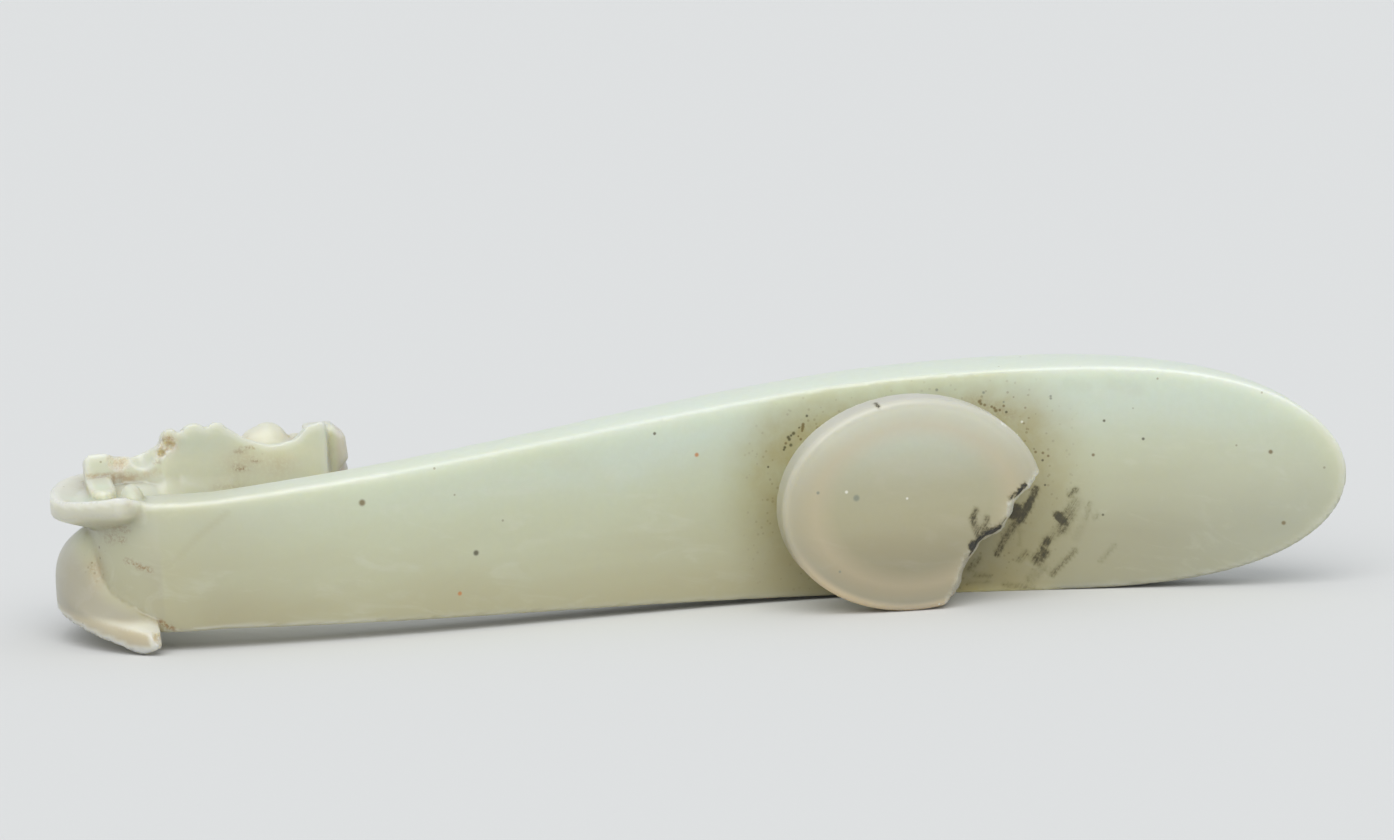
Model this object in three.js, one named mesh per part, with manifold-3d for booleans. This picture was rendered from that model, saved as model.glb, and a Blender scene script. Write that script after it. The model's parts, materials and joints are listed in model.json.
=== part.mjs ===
// A jade belt hook: a bowed, spoon-shaped shaft, a neck that bends over into a dragon's head,
// two locks of mane on the outside of the bend, and an oval button on a stem behind the shaft.
// The real hook is carved from one block, so every solid here is a carved form of that block.
// Millimetres. X runs along the shaft from the root of the neck to the broad end, Y runs from the
// back (the button's side) to the front, and Z runs across. The origin of these sizes is the
// middle of the shaft's back at the root of the neck. The hook lies on its long side edge.

import * as THREE from "three";
import { mergeVertices } from "three/addons/utils/BufferGeometryUtils.js";
import Module from "manifold-3d";

// Shaft
const shaftLength = 92.8;
const crestAlong = 53.5;
const crestRise = 6.4;
const tipFall = 9.5;
const neckHalfWidth = 5.2;
const broadHalfWidth = 9.4;
const broadAlong = 68;
const neckSideDepth = 4.6;
const broadSideDepth = 6.9;
const tipSideDepth = 4.0;
const neckCrown = 1.0;
const broadCrown = 1.6;
const tipCrown = 0.7;
const edgeBevel = 0.3;
const sideBulge = 0.2;
const tipFacet = 1.0;
const restAlong = 64.3;

// Powers that shape the shaft's curves
const archPower = 1.1;
const fallPower = 1.45;
const roundEndPower = 2.9;
const swellShare = 0.9;
const ringPower = 1.7;

// Neck, bent over in half a ring
const bendInnerRadius = 3.6;
const bendAlong = 1.5;
const bendHalfWidth = 4.9;
const bendHollow = 1.2;

// Space left between two carved forms
const seam = 0.3;

// Head
const headAcross = 0.85;
const jawLength = 10.7;
const jawRearHalfWidth = 6.6;
const cheekHalfWidth = 8.25;
const cheekTaper = 0.7;
const cheekRear = 2.5;
const cheekAlong = 1.6;
const waistHalfWidth = 5.95;
const waistAlong = 6.3;
const snoutHalfWidth = 6.95;
const jawDepth = 3.2;
const jawChamfer = 0.9;
const muzzleDepth = 3.0;
const muzzleTaper = 1.0;
const lipOverhang = 1.4;
const lipDepth = 2.6;
const lipHalfWidth = 6.4;
const lipRounding = 1.4;
const browLength = 5.2;
const browHeight = 1.6;
const browWidth = 4.2;
const browAlong = 6.6;
const browSpacing = 8.0;

// Horns, along both sides of the bend's top
const hornThickness = 1.3;
const hornReach = 6.0;
const hornDepth = 3.6;
const hornTipLength = 5.4;
const hornTipWidth = 2.1;
const hornSaddle = 0.7;

// Locks of mane
const lockThickness = 2.0;
const lockTopThickness = 1.6;
const lockTipHalfSpacing = 4.5;
const lockTopHalfSpacing = 2.4;
const lockTipAlong = 5.5;
const lockTipRise = 2.2;
const lockBackRise = 1.2;
const lockTopRise = 3.2;
const lockTipFlat = 1.3;

// Button and its stem
const buttonAlong = 56.4;
const buttonAcross = 0.3;
const buttonHalfLength = 10.9;
const buttonHalfHeight = 8.8;
const buttonThickness = 3.0;
const buttonRounding = 0.8;
const buttonStandOff = 8.5;
const stemHalfLength = 5.2;
const stemHalfHeight = 4.4;
const stemFlare = 0.6;
const chipStartHeight = 2.3;
const chipEndInset = 8.9;

// How far a cutting solid runs past what it cuts
const overrun = 2;

// Facets
const sectionSteps = 14;
const shaftSteps = 26;
const bendSteps = 16;
const roundSteps = 40;
const lockSteps = 12;

const wasm = await Module();
wasm.setup();

// Turns a closed geometry into a solid that can be cut.
function toSolid(geometry) {
  const bare = geometry.clone();
  bare.deleteAttribute("normal");
  bare.deleteAttribute("uv");
  const merged = mergeVertices(bare);
  const mesh = new wasm.Mesh({
    numProp: 3,
    vertProperties: new Float32Array(merged.attributes.position.array),
    triVerts: new Uint32Array(merged.index.array),
  });
  return new wasm.Manifold(mesh);
}

// Turns a cut solid back into a geometry.
function toGeometry(solid) {
  const mesh = solid.getMesh();
  const geometry = new THREE.BufferGeometry();
  geometry.setAttribute("position", new THREE.BufferAttribute(new Float32Array(mesh.vertProperties), 3));
  geometry.setIndex(new THREE.BufferAttribute(new Uint32Array(mesh.triVerts), 1));
  geometry.computeVertexNormals();
  return geometry;
}

// A closed skin over a row of rings, each an array of as many points, with a fan over each end.
function loft(rings) {
  const count = rings[0].length;
  const points = rings.flat();
  const faces = [];
  for (let ring = 0; ring + 1 < rings.length; ring += 1) {
    for (let step = 0; step < count; step += 1) {
      const next = (step + 1) % count;
      const near = ring * count;
      const far = near + count;
      faces.push([near + step, near + next, far + step]);
      faces.push([near + next, far + next, far + step]);
    }
  }
  for (const [ring, turned] of [[0, true], [rings.length - 1, false]]) {
    const middle = new THREE.Vector3();
    rings[ring].forEach((point) => middle.addScaledVector(point, 1 / count));
    const hub = points.push(middle) - 1;
    for (let step = 0; step < count; step += 1) {
      const here = ring * count + step;
      const next = ring * count + (step + 1) % count;
      faces.push(turned ? [hub, next, here] : [hub, here, next]);
    }
  }
  const volume = faces.reduce((sum, [a, b, c]) => {
    return sum + points[a].dot(new THREE.Vector3().crossVectors(points[b], points[c]));
  }, 0);
  const outward = volume > 0 ? faces : faces.map(([a, b, c]) => [a, c, b]);
  const geometry = new THREE.BufferGeometry().setFromPoints(points);
  geometry.setIndex(outward.flat());
  geometry.computeVertexNormals();
  return geometry;
}

const ease = (share) => (1 - Math.cos(Math.PI * share)) / 2;
const blend = (from, to, share) => from + (to - from) * share;

// Height of the shaft's back: an arch that rises to the crest and falls to the tip.
function backRise(along) {
  if (along < crestAlong) {
    return crestRise * ease((along / crestAlong) ** archPower);
  }
  return crestRise - tipFall * ((along - crestAlong) / (shaftLength - crestAlong)) ** fallPower;
}

// Half width of the shaft: it widens from the neck, then closes in a round end.
function halfWidth(along) {
  if (along < broadAlong) {
    const share = along / broadAlong;
    return blend(neckHalfWidth, broadHalfWidth, share + swellShare * share ** 3 * (1 - share));
  }
  const share = (along - broadAlong) / (shaftLength - broadAlong);
  return Math.max(broadHalfWidth * Math.sqrt(Math.max(1 - share ** roundEndPower, 0)), tipFacet);
}

// A depth that changes from the neck to the broad part and then to the tip.
function depthAt(along, neck, broad, tip) {
  if (along < broadAlong) {
    return blend(neck, broad, ease(along / broadAlong));
  }
  return blend(broad, tip, ease((along - broadAlong) / (shaftLength - broadAlong)));
}

// One section: a flat back, a small bevel, a slightly full side and a crowned front.
// It gives pairs of height above the back and place across.
function sectionOutline(half, side, crown, bulge) {
  const outline = [[0, -half + edgeBevel], [0, half - edgeBevel], [edgeBevel, half], [side / 2, half + bulge]];
  for (let step = 0; step <= sectionSteps; step += 1) {
    const angle = Math.PI * step / sectionSteps;
    outline.push([side + crown * Math.sin(angle), half * Math.cos(angle)]);
  }
  outline.push([side / 2, -half - bulge], [edgeBevel, -half]);
  return outline;
}

function makeShaft() {
  const rings = [];
  for (let step = 0; step <= shaftSteps; step += 1) {
    const share = step / shaftSteps;
    const along = shaftLength * (1 - (1 - share) ** ringPower);
    const side = depthAt(along, neckSideDepth, broadSideDepth, tipSideDepth);
    const crown = depthAt(along, neckCrown, broadCrown, tipCrown);
    const outline = sectionOutline(halfWidth(along), side, crown, depthAt(along, 0, sideBulge, 0));
    rings.push(outline.map(([height, across]) => new THREE.Vector3(along, backRise(along) + height, across)));
  }
  return loft(rings);
}

const neckDepth = neckSideDepth + neckCrown;
const bendOuterRadius = bendInnerRadius + neckDepth;
const bendHeight = bendOuterRadius;
const jawHeight = neckDepth + 2 * bendInnerRadius;

// A point of the bend: the angle starts at the shaft and ends at the head.
function onBend(angle, radius, across) {
  return new THREE.Vector3(-bendAlong - radius * Math.sin(angle), bendHeight - radius * Math.cos(angle), across);
}

// The outside of the bend is hollowed between the two locks.
const hollowShares = [
  [0.6, -0.7],
  [0.95, -0.35],
  [1, 0],
  [0.95, 0.35],
  [0.6, 0.7],
];

function makeNeck() {
  const rings = [];
  const root = sectionOutline(neckHalfWidth, neckSideDepth, neckCrown, 0);
  root.splice(1, 0, ...hollowShares.map(([, place]) => [0, place * neckHalfWidth]));
  rings.push(root.map(([height, across]) => new THREE.Vector3(-seam, height, across)));
  for (let step = 0; step <= bendSteps; step += 1) {
    const share = step / bendSteps;
    const half = blend(neckHalfWidth, bendHalfWidth, ease(share));
    const outline = sectionOutline(half, neckSideDepth, neckCrown, 0);
    const hollow = bendHollow * Math.sin(Math.PI * share);
    outline.splice(1, 0, ...hollowShares.map(([depth, place]) => [depth * hollow, place * half]));
    rings.push(outline.map(([height, across]) => {
      return onBend(Math.PI * share, bendOuterRadius - height, across);
    }));
  }
  return loft(rings);
}

// The cheeks reach back on both sides of the neck, clear of it.
const besideNeck = neckHalfWidth + seam;

// One place on both edges of the head, which sits a little off the shaft's middle line.
const edges = (along, half) => ({ along, left: headAcross + half, right: headAcross - half });
const notch = (along) => ({ along, left: besideNeck, right: -besideNeck });

// How far the edge has turned in behind the cheek, and out again before the snout.
const cheekTurnShare = 0.55;
const snoutTurnShare = 0.45;

// The plan of the jaw, from the neck to the end of the snout.
function jawPlan(end, cheek) {
  return [
    notch(-bendAlong + seam),
    notch(-cheekRear),
    edges(-cheekRear, jawRearHalfWidth),
    edges(-cheekRear / 2, cheek),
    edges(0, cheek),
    edges(cheekAlong, cheek),
    edges(blend(cheekAlong, waistAlong, 1 / 2), blend(waistHalfWidth, cheek, cheekTurnShare)),
    edges(waistAlong, waistHalfWidth),
    edges(blend(waistAlong, jawLength, 1 / 2), blend(waistHalfWidth, snoutHalfWidth, snoutTurnShare)),
    edges(end, snoutHalfWidth),
  ];
}

// Both edges of a plan, as a ring at one height.
function planRing(plan, height) {
  const left = plan.map((place) => new THREE.Vector3(place.along, height, place.left));
  const right = plan.map((place) => new THREE.Vector3(place.along, height, place.right));
  return [...left, ...right.reverse()];
}

function makeJaw() {
  return loft([
    planRing(jawPlan(jawLength, cheekHalfWidth), jawHeight),
    planRing(jawPlan(jawLength + jawChamfer, cheekHalfWidth), jawHeight + jawChamfer),
    planRing(jawPlan(jawLength + jawChamfer, cheekHalfWidth - cheekTaper), jawHeight + jawDepth),
  ]);
}

const muzzleHeight = jawHeight + jawDepth + seam;

function makeMuzzle() {
  const plan = (inset) => [
    edges(-bendAlong + seam, bendHalfWidth),
    edges(cheekAlong, waistHalfWidth - inset),
    edges(waistAlong, waistHalfWidth - inset),
    edges(jawLength, lipHalfWidth - inset),
  ];
  return loft([
    planRing(plan(0), muzzleHeight),
    planRing(plan(0), muzzleHeight + muzzleDepth / 2),
    planRing(plan(muzzleTaper), muzzleHeight + muzzleDepth),
  ]);
}

// The upper lip and nose stand out past the jaw.
function makeLip() {
  const start = jawLength + seam;
  const reach = jawLength + jawChamfer + lipOverhang - start;
  const shape = new THREE.Shape();
  shape.moveTo(start, -lipHalfWidth);
  shape.lineTo(start + reach - lipRounding, -lipHalfWidth);
  shape.quadraticCurveTo(start + reach, -lipHalfWidth, start + reach, -lipHalfWidth + lipRounding);
  shape.lineTo(start + reach - lipRounding, 0);
  shape.lineTo(start + reach, lipHalfWidth - lipRounding);
  shape.quadraticCurveTo(start + reach, lipHalfWidth, start + reach - lipRounding, lipHalfWidth);
  shape.lineTo(start, lipHalfWidth);
  const geometry = new THREE.ExtrudeGeometry(shape, { depth: lipDepth, bevelEnabled: false, curveSegments: 4 });
  geometry.rotateX(Math.PI / 2);
  geometry.translate(0, muzzleHeight + lipDepth, headAcross);
  return geometry;
}

// A brow is the upper half of an egg, on top of the muzzle.
function makeBrow() {
  const sphere = new THREE.SphereGeometry(1, 16, 10);
  sphere.scale(browLength / 2, browHeight, browWidth / 2);
  const cutter = new THREE.BoxGeometry(browLength + overrun, browHeight + overrun, browWidth + overrun);
  cutter.translate(0, -(browHeight + overrun) / 2, 0);
  return toGeometry(toSolid(sphere).subtract(toSolid(cutter)));
}

// A horn in side view: a bar over the top of the bend with a tip that hangs at its rear end.
function makeHorn() {
  const rear = -cheekRear - seam - hornReach;
  const front = -cheekRear - seam;
  const top = hornDepth;
  const shape = new THREE.Shape();
  shape.moveTo(front, 0);
  shape.lineTo(front, top);
  shape.lineTo(rear + hornTipWidth, top - hornSaddle);
  shape.quadraticCurveTo(rear, top - hornSaddle, rear, top / 2);
  shape.lineTo(rear, -hornTipLength + hornTipWidth / 2);
  shape.quadraticCurveTo(rear, -hornTipLength, rear + hornTipWidth / 2, -hornTipLength);
  shape.quadraticCurveTo(rear + hornTipWidth, -hornTipLength, rear + hornTipWidth, -hornTipLength + hornTipWidth / 2);
  shape.lineTo(rear + hornTipWidth, 0);
  return new THREE.ExtrudeGeometry(shape, { depth: hornThickness, bevelEnabled: false, curveSegments: 5 });
}

// A lock of mane stands out past the bend's outer skin, from a tip behind the shaft up to the
// back of the head, and leans in on the way up.
const lockRoot = bendOuterRadius + seam;
const lockTipAngle = Math.asin((lockTipAlong - bendAlong) / (lockRoot + lockTipRise));
const lockEndShare = 0.86;
const lockEndAngle = Math.PI * lockEndShare;

// The lock fades out over its last part, where the two inner faces meet.
const lockFadeShare = 1 / 6;
const lockLeanPower = 0.8;
const lockMeetPower = 3;

function makeLock() {
  const rings = [];
  for (let step = 0; step <= lockSteps; step += 1) {
    const share = step / lockSteps;
    const angle = blend(lockTipAngle, lockEndAngle, share);
    const rise = share < 1 / 2
      ? blend(lockTipRise, lockBackRise, ease(share * 2))
      : blend(lockBackRise, lockTopRise, ease(share * 2 - 1));
    const start = blend(lockTipHalfSpacing, lockTopHalfSpacing, share ** lockLeanPower);
    const outer = lockRoot + Math.max(rise * Math.min(1, (1 - share) / lockFadeShare), lockTipFlat / 2);
    const far = start + blend(lockThickness, lockTopThickness, share);
    rings.push([
      onBend(angle, lockRoot, blend(start, seam / 2, share ** lockMeetPower)),
      onBend(angle, lockRoot, far),
      onBend(angle, outer, far),
      onBend(angle, outer, start),
    ]);
  }
  return loft(rings);
}

function ellipse(halfLength, halfHeight, height, steps) {
  return Array.from({ length: steps }, (_, step) => {
    const angle = 2 * Math.PI * step / steps;
    return new THREE.Vector3(halfLength * Math.cos(angle), height, halfHeight * Math.sin(angle));
  });
}

// The piece broken out of the button's lower right, as shares of its half length and half height.
const chipShares = [
  [0.86, 0.09],
  [0.74, -0.06],
  [0.66, -0.27],
  [0.53, -0.37],
  [0.36, -0.58],
  [0.31, -0.83],
];

// Where the break starts at the rim, and how far the rim's corner is turned in halfway.
const chipRimShare = 0.97;
const cornerShare = 0.3;

function makeButton() {
  const slim = (rounding, height) => {
    return ellipse(buttonHalfLength - rounding, buttonHalfHeight - rounding, height, roundSteps);
  };
  const plate = loft([
    slim(buttonRounding, 0),
    slim(buttonRounding * cornerShare, buttonRounding * cornerShare),
    slim(0, buttonRounding),
    slim(0, buttonThickness - buttonRounding),
    slim(buttonRounding * cornerShare, buttonThickness - buttonRounding * cornerShare),
    slim(buttonRounding, buttonThickness),
  ]);
  const corner = [
    [buttonHalfLength + overrun, chipStartHeight],
    [buttonHalfLength * chipRimShare, chipStartHeight],
    ...chipShares.map(([along, across]) => [along * buttonHalfLength, across * buttonHalfHeight]),
    [buttonHalfLength - chipEndInset, -buttonHalfHeight],
    [buttonHalfLength - chipEndInset, -buttonHalfHeight - overrun],
    [buttonHalfLength + overrun, -buttonHalfHeight - overrun],
  ];
  const shape = new THREE.Shape(corner.map(([along, across]) => new THREE.Vector2(along, across)));
  const chip = new THREE.ExtrudeGeometry(shape, { depth: buttonThickness + 2 * overrun, bevelEnabled: false });
  chip.rotateX(Math.PI / 2);
  chip.translate(0, buttonThickness + overrun, 0);
  return toGeometry(toSolid(plate).subtract(toSolid(chip)));
}

const buttonFace = backRise(buttonAlong) - buttonStandOff;
const stemFoot = buttonFace + buttonThickness + seam;

// The stem ends in a plane just clear of the lowest back over its own length.
function makeStem() {
  const lowestBack = Math.min(
    backRise(buttonAlong - stemHalfLength),
    backRise(buttonAlong + stemHalfLength),
  );
  const height = lowestBack - seam - stemFoot;
  return loft([
    ellipse(stemHalfLength, stemHalfHeight, 0, roundSteps),
    ellipse(stemHalfLength - stemFlare, stemHalfHeight - stemFlare, height / 2, roundSteps),
    ellipse(stemHalfLength, stemHalfHeight, height, roundSteps),
  ]);
}

function jade(colour) {
  return new THREE.MeshStandardMaterial({ color: colour, roughness: 0.22, metalness: 0 });
}

const hook = new THREE.Group();
const carving = new THREE.Group();
hook.add(carving);

function place(name, geometry, colour = "#c9cdb2") {
  const mesh = new THREE.Mesh(geometry, jade(colour));
  mesh.name = name;
  carving.add(mesh);
  return mesh;
}

// A form on the left, and its mirror image on the right.
function placePair(name, geometry, colour) {
  const mirrored = mergeVertices(geometry.clone().deleteAttribute("normal").deleteAttribute("uv"));
  mirrored.scale(1, 1, -1);
  const order = mirrored.index.array;
  for (let corner = 0; corner < order.length; corner += 3) {
    [order[corner], order[corner + 1]] = [order[corner + 1], order[corner]];
  }
  mirrored.computeVertexNormals();
  return [place(`${name}_left`, geometry, colour), place(`${name}_right`, mirrored, colour)];
}

place("shaft", makeShaft());
place("neck", makeNeck());
place("jaw", makeJaw());
place("muzzle", makeMuzzle());
place("lip", makeLip());

const brow = makeBrow();
brow.translate(browAlong, muzzleHeight + muzzleDepth + seam, browSpacing / 2);
placePair("brow", brow).forEach((mesh) => mesh.translateZ(headAcross));

const horn = makeHorn();
horn.translate(0, jawHeight, neckHalfWidth + seam);
placePair("horn", horn);

placePair("mane_lock", makeLock(), "#d3d0c0");

const button = place("button", makeButton(), "#c8c2ae");
button.position.set(buttonAlong, buttonFace, buttonAcross);

const stem = place("button_stem", makeStem());
stem.position.set(buttonAlong, stemFoot, buttonAcross);

// The hook lies on three places: the tip of its right lock, the rim of its button and the edge of
// its shaft beside the button.
const lockTip = onBend(lockTipAngle, lockRoot + lockTipRise, -lockTipHalfSpacing - lockThickness);
const buttonRim = new THREE.Vector3(buttonAlong, buttonFace + buttonRounding, buttonAcross - buttonHalfHeight);
const shaftEdge = new THREE.Vector3(
  restAlong,
  backRise(restAlong) + broadSideDepth / 2,
  -halfWidth(restAlong) - sideBulge,
);
const surface = new THREE.Plane().setFromCoplanarPoints(lockTip, buttonRim, shaftEdge);
const skyward = new THREE.Vector3(0, 0, 1);
const upward = surface.normal.multiplyScalar(Math.sign(surface.normal.dot(skyward)));
carving.quaternion.setFromUnitVectors(upward, skyward);

// The hook's own origin is under the middle of its box, on the surface it lies on.
hook.updateMatrixWorld(true);
const box = new THREE.Box3().setFromObject(hook, true);
const middle = box.getCenter(new THREE.Vector3());
carving.position.set(-middle.x, -middle.y, -box.min.z);

export default hook;
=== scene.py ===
"""A jade belt hook: one carved stone with a bowed shaft, a neck bent over into a dragon's head, two
ribs of mane and an oval button with a broken edge. The stone is one continuous skin, because light
travels through the whole of it.

Part sizes are in millimetres: x runs along the shaft from the root of the neck to the broad end, y
from the back to the front, z across. The frame's two mounts say where these axes lie in the row.
"""

import json
import math

import bpy
import numpy as np
import openvdb
from mathutils import Matrix, Vector


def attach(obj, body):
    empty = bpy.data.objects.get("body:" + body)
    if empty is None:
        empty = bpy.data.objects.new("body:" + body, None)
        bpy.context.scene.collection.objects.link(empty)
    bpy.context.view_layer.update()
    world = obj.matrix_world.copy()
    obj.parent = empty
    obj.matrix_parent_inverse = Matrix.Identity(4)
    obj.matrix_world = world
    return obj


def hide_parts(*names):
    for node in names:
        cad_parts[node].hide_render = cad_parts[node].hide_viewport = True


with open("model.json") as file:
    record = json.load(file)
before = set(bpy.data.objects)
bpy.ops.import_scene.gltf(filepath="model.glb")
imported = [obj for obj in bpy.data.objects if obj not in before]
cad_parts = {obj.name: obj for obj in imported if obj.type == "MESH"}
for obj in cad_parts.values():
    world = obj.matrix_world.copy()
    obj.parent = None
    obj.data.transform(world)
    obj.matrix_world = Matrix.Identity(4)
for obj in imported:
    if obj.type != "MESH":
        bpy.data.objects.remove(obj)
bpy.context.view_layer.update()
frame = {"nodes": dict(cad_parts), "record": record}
MM = 0.001
# Beyond every distance, and the least numbers to divide by
FAR = 1e9
TINY = 1e-6
LEAST_REACH = 1e-3

# Shaft
SHAFT_LENGTH = 92.8
CREST_ALONG = 53.5
CREST_RISE = 6.4
TIP_FALL = 9.5
ARCH_POWER = 1.1
FALL_POWER = 1.45
NECK_HALF_WIDTH = 5.2
BROAD_HALF_WIDTH = 9.4
BROAD_ALONG = 68.0
SWELL_SHARE = 0.9
ROUND_END_POWER = 2.9
RISE_PAST_END = 1.1
OUTLINE_PAST_END = 1.2
NECK_SIDE_DEPTH = 4.6
BROAD_SIDE_DEPTH = 6.9
TIP_SIDE_DEPTH = 4.0
NECK_CROWN = 1.0
BROAD_CROWN = 1.6
TIP_CROWN = 0.7
BACK_CROWN = 0.25
SIDE_BULGE = 0.2
BACK_ROUND = 0.22
FRONT_ROUND = 1.5
SLOPE_STEP = 0.1
LEAST_OUTLINE_RISE = 0.5

# Neck
BEND_INNER_RADIUS = 3.6
BEND_ALONG = 1.5
NECK_DEPTH = NECK_SIDE_DEPTH + NECK_CROWN
BEND_RADIUS = BEND_INNER_RADIUS + NECK_DEPTH
JAW_HEIGHT = NECK_DEPTH + 2 * BEND_INNER_RADIUS

# Button
BUTTON_ALONG = 56.4
BUTTON_ACROSS = 0.3
BUTTON_HALF_LENGTH = 10.9
BUTTON_HALF_HEIGHT = 8.8
BUTTON_THICKNESS = 3.0
BUTTON_STAND_OFF = 8.5
BUTTON_ROUND = 0.5
BUTTON_CROWN = 0.12
BREAK_ROUND = 0.08
LEAST_RIM_RISE = 0.06
STEM_HALF_LENGTH = 5.2
STEM_HALF_HEIGHT = 4.4
STEM_STEEPNESS = 0.95
STEM_SINK = 1.0
STEM_ROOT = 2.0
STEM_FILLET = 1.1
BUTTON_FILLET = 0.6 * STEM_FILLET

# Head
HEAD_ACROSS = 0.85

# Fillets where the forms at the head end meet, and the worn edge of the chips and pits
MANE_FILLET = 0.2
HEAD_FILLET = 0.9
HORN_FILLET = 0.15
STUMP_FILLET = 0.3
PIT_ROUND = 0.12


def ease(share):
    return (1 - np.cos(np.pi * share)) / 2


def blend(low, high, share):
    return low + (high - low) * share


def unit(value):
    return np.clip(value, 0, 1)


def curve(value, knots):
    """A smooth line through a few (place, height) knots, level past the ends."""
    places = np.array([place for place, _ in knots], float)
    heights = np.array([height for _, height in knots], float)
    slopes = np.gradient(heights, places)
    slopes[0] = slopes[-1] = 0
    value = np.clip(value, places[0], places[-1])
    step = np.clip(np.searchsorted(places, value, side="right") - 1, 0, len(places) - 2)
    width = places[step + 1] - places[step]
    t = (value - places[step]) / width
    return (
        heights[step] * (1 + 2 * t) * (1 - t) ** 2
        + heights[step + 1] * t * t * (3 - 2 * t)
        + width * (slopes[step] * t * (1 - t) ** 2 - slopes[step + 1] * t * t * (1 - t))
    )


def both(a, b, radius):
    """What lies in a and in b, with its edge rounded."""
    corner = np.hypot(np.maximum(a + radius, 0), np.maximum(b + radius, 0))
    return np.minimum(np.maximum(a, b), -radius) + corner


def either(a, b, radius):
    """What lies in a or in b, with a fillet where they meet."""
    corner = np.hypot(np.maximum(radius - a, 0), np.maximum(radius - b, 0))
    return np.maximum(np.minimum(a, b), radius) - corner


def polygon(x, y, corners):
    """Distance to a closed outline, below zero inside."""
    nearest = np.full(x.shape, FAR)
    sign = np.ones(x.shape)
    for (ax, ay), (bx, by) in zip(corners, corners[1:] + corners[:1]):
        ex, ey, wx, wy = bx - ax, by - ay, x - ax, y - ay
        share = unit((wx * ex + wy * ey) / (ex * ex + ey * ey))
        nearest = np.minimum(nearest, (wx - ex * share) ** 2 + (wy - ey * share) ** 2)
        above, below, left = y >= ay, y < by, ex * wy > ey * wx
        sign = np.where((above & below & left) | (~above & ~below & ~left), -sign, sign)
    return sign * np.sqrt(nearest)


def egg(x, y, z, middle, radii):
    """About the distance to an ellipsoid."""
    dx, dy, dz = x - middle[0], y - middle[1], z - middle[2]
    k0 = np.sqrt((dx / radii[0]) ** 2 + (dy / radii[1]) ** 2 + (dz / radii[2]) ** 2)
    k1 = np.sqrt((dx / radii[0] ** 2) ** 2 + (dy / radii[1] ** 2) ** 2 + (dz / radii[2] ** 2) ** 2)
    return k0 * (k0 - 1) / np.maximum(k1, TINY)


def rod(x, y, z, points, radii):
    """Distance to a chain of straight rods with a radius at each point."""
    nearest = np.full(x.shape, FAR)
    for a, b, ra, rb in zip(points, points[1:], radii, radii[1:]):
        e = [q - p for p, q in zip(a, b)]
        w = [x - a[0], y - a[1], z - a[2]]
        share = unit(sum(p * q for p, q in zip(w, e)) / sum(q * q for q in e))
        gap = np.sqrt(sum((p - q * share) ** 2 for p, q in zip(w, e)))
        nearest = np.minimum(nearest, gap - blend(ra, rb, share))
    return nearest


def back_rise(along):
    rise = CREST_RISE * ease((np.clip(along, 0, CREST_ALONG) / CREST_ALONG) ** ARCH_POWER)
    past = np.clip((along - CREST_ALONG) / (SHAFT_LENGTH - CREST_ALONG), 0, RISE_PAST_END)
    return rise - TIP_FALL * past ** FALL_POWER


def depth_at(along, neck, broad, tip):
    before = blend(neck, broad, ease(unit(along / BROAD_ALONG)))
    past = ease(unit((along - BROAD_ALONG) / (SHAFT_LENGTH - BROAD_ALONG)))
    return np.where(along < BROAD_ALONG, before, blend(broad, tip, past))


def shaft(x, y, z):
    share = unit(x / BROAD_ALONG)
    half = blend(NECK_HALF_WIDTH, BROAD_HALF_WIDTH, share + SWELL_SHARE * share ** 3 * (1 - share))
    slope = (back_rise(x + SLOPE_STEP) - back_rise(x - SLOPE_STEP)) / (2 * SLOPE_STEP)
    side = depth_at(x, NECK_SIDE_DEPTH, BROAD_SIDE_DEPTH, TIP_SIDE_DEPTH)
    crown = depth_at(x, NECK_CROWN, BROAD_CROWN, TIP_CROWN)
    across = unit(np.abs(z) / half)
    height = (y - back_rise(x)) / np.sqrt(1 + slope ** 2)
    full = SIDE_BULGE * np.sin(np.pi * unit(height / side))
    past = np.clip((x - BROAD_ALONG) / (SHAFT_LENGTH - BROAD_ALONG), 0, OUTLINE_PAST_END)
    reach = np.sqrt((z / (half + full)) ** 2 + past ** ROUND_END_POWER)
    steep_z = np.abs(z) / half ** 2
    steep_x = ROUND_END_POWER * past ** (ROUND_END_POWER - 1) / (2 * (SHAFT_LENGTH - BROAD_ALONG))
    steep = np.sqrt(steep_z ** 2 + steep_x ** 2) / np.maximum(reach, LEAST_REACH)
    outline = (reach - 1) / np.maximum(steep, LEAST_OUTLINE_RISE / BROAD_HALF_WIDTH)
    back = -height + BACK_CROWN * across ** 2
    front = height - side - crown * (1 - across ** 2)
    form = both(outline, back, BACK_ROUND)
    form = both(form, front, FRONT_ROUND)
    return np.maximum(form, -BEND_ALONG - x)


def bend(x, y):
    """Radius and angle, in degrees, about the bend's middle: 0 at the shaft, 180 at the head."""
    dx, dy = -BEND_ALONG - x, BEND_RADIUS - y
    return np.hypot(dx, dy), np.degrees(np.arctan2(dx, dy))


# The closed end of the gap between neck and head, half an ellipse that starts before the bend does.
GAP_START = 2.2
GAP_REACH = GAP_START + BEND_ALONG + BEND_INNER_RADIUS
GAP_ROUND = 2.3
GAP_ROUND_ANGLE = 60
LEAST_GAP_REACH = 0.05
LEAST_GAP_RISE = 0.1

# The neck round the bend, as (angle, size): how far its outside is hollowed, half its width, and how
# much narrower it is on the outside of the bend.
NECK_HOLLOW = [(0, 0.0), (40, 0.4), (60, 0.7), (75, 1.1), (90, 1.5), (130, 1.7), (180, 1.0)]
NECK_WIDTH = [(0, 5.2), (90, 5.05), (180, 5.0)]
NECK_PINCH = [(0, 0.0), (30, 0.05), (48, 0.3), (70, 0.75), (150, 0.8), (180, 0.4)]
HOLLOW_POWER = 4
PINCH_START = 0.3
PINCH_REACH = 2.6

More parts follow.
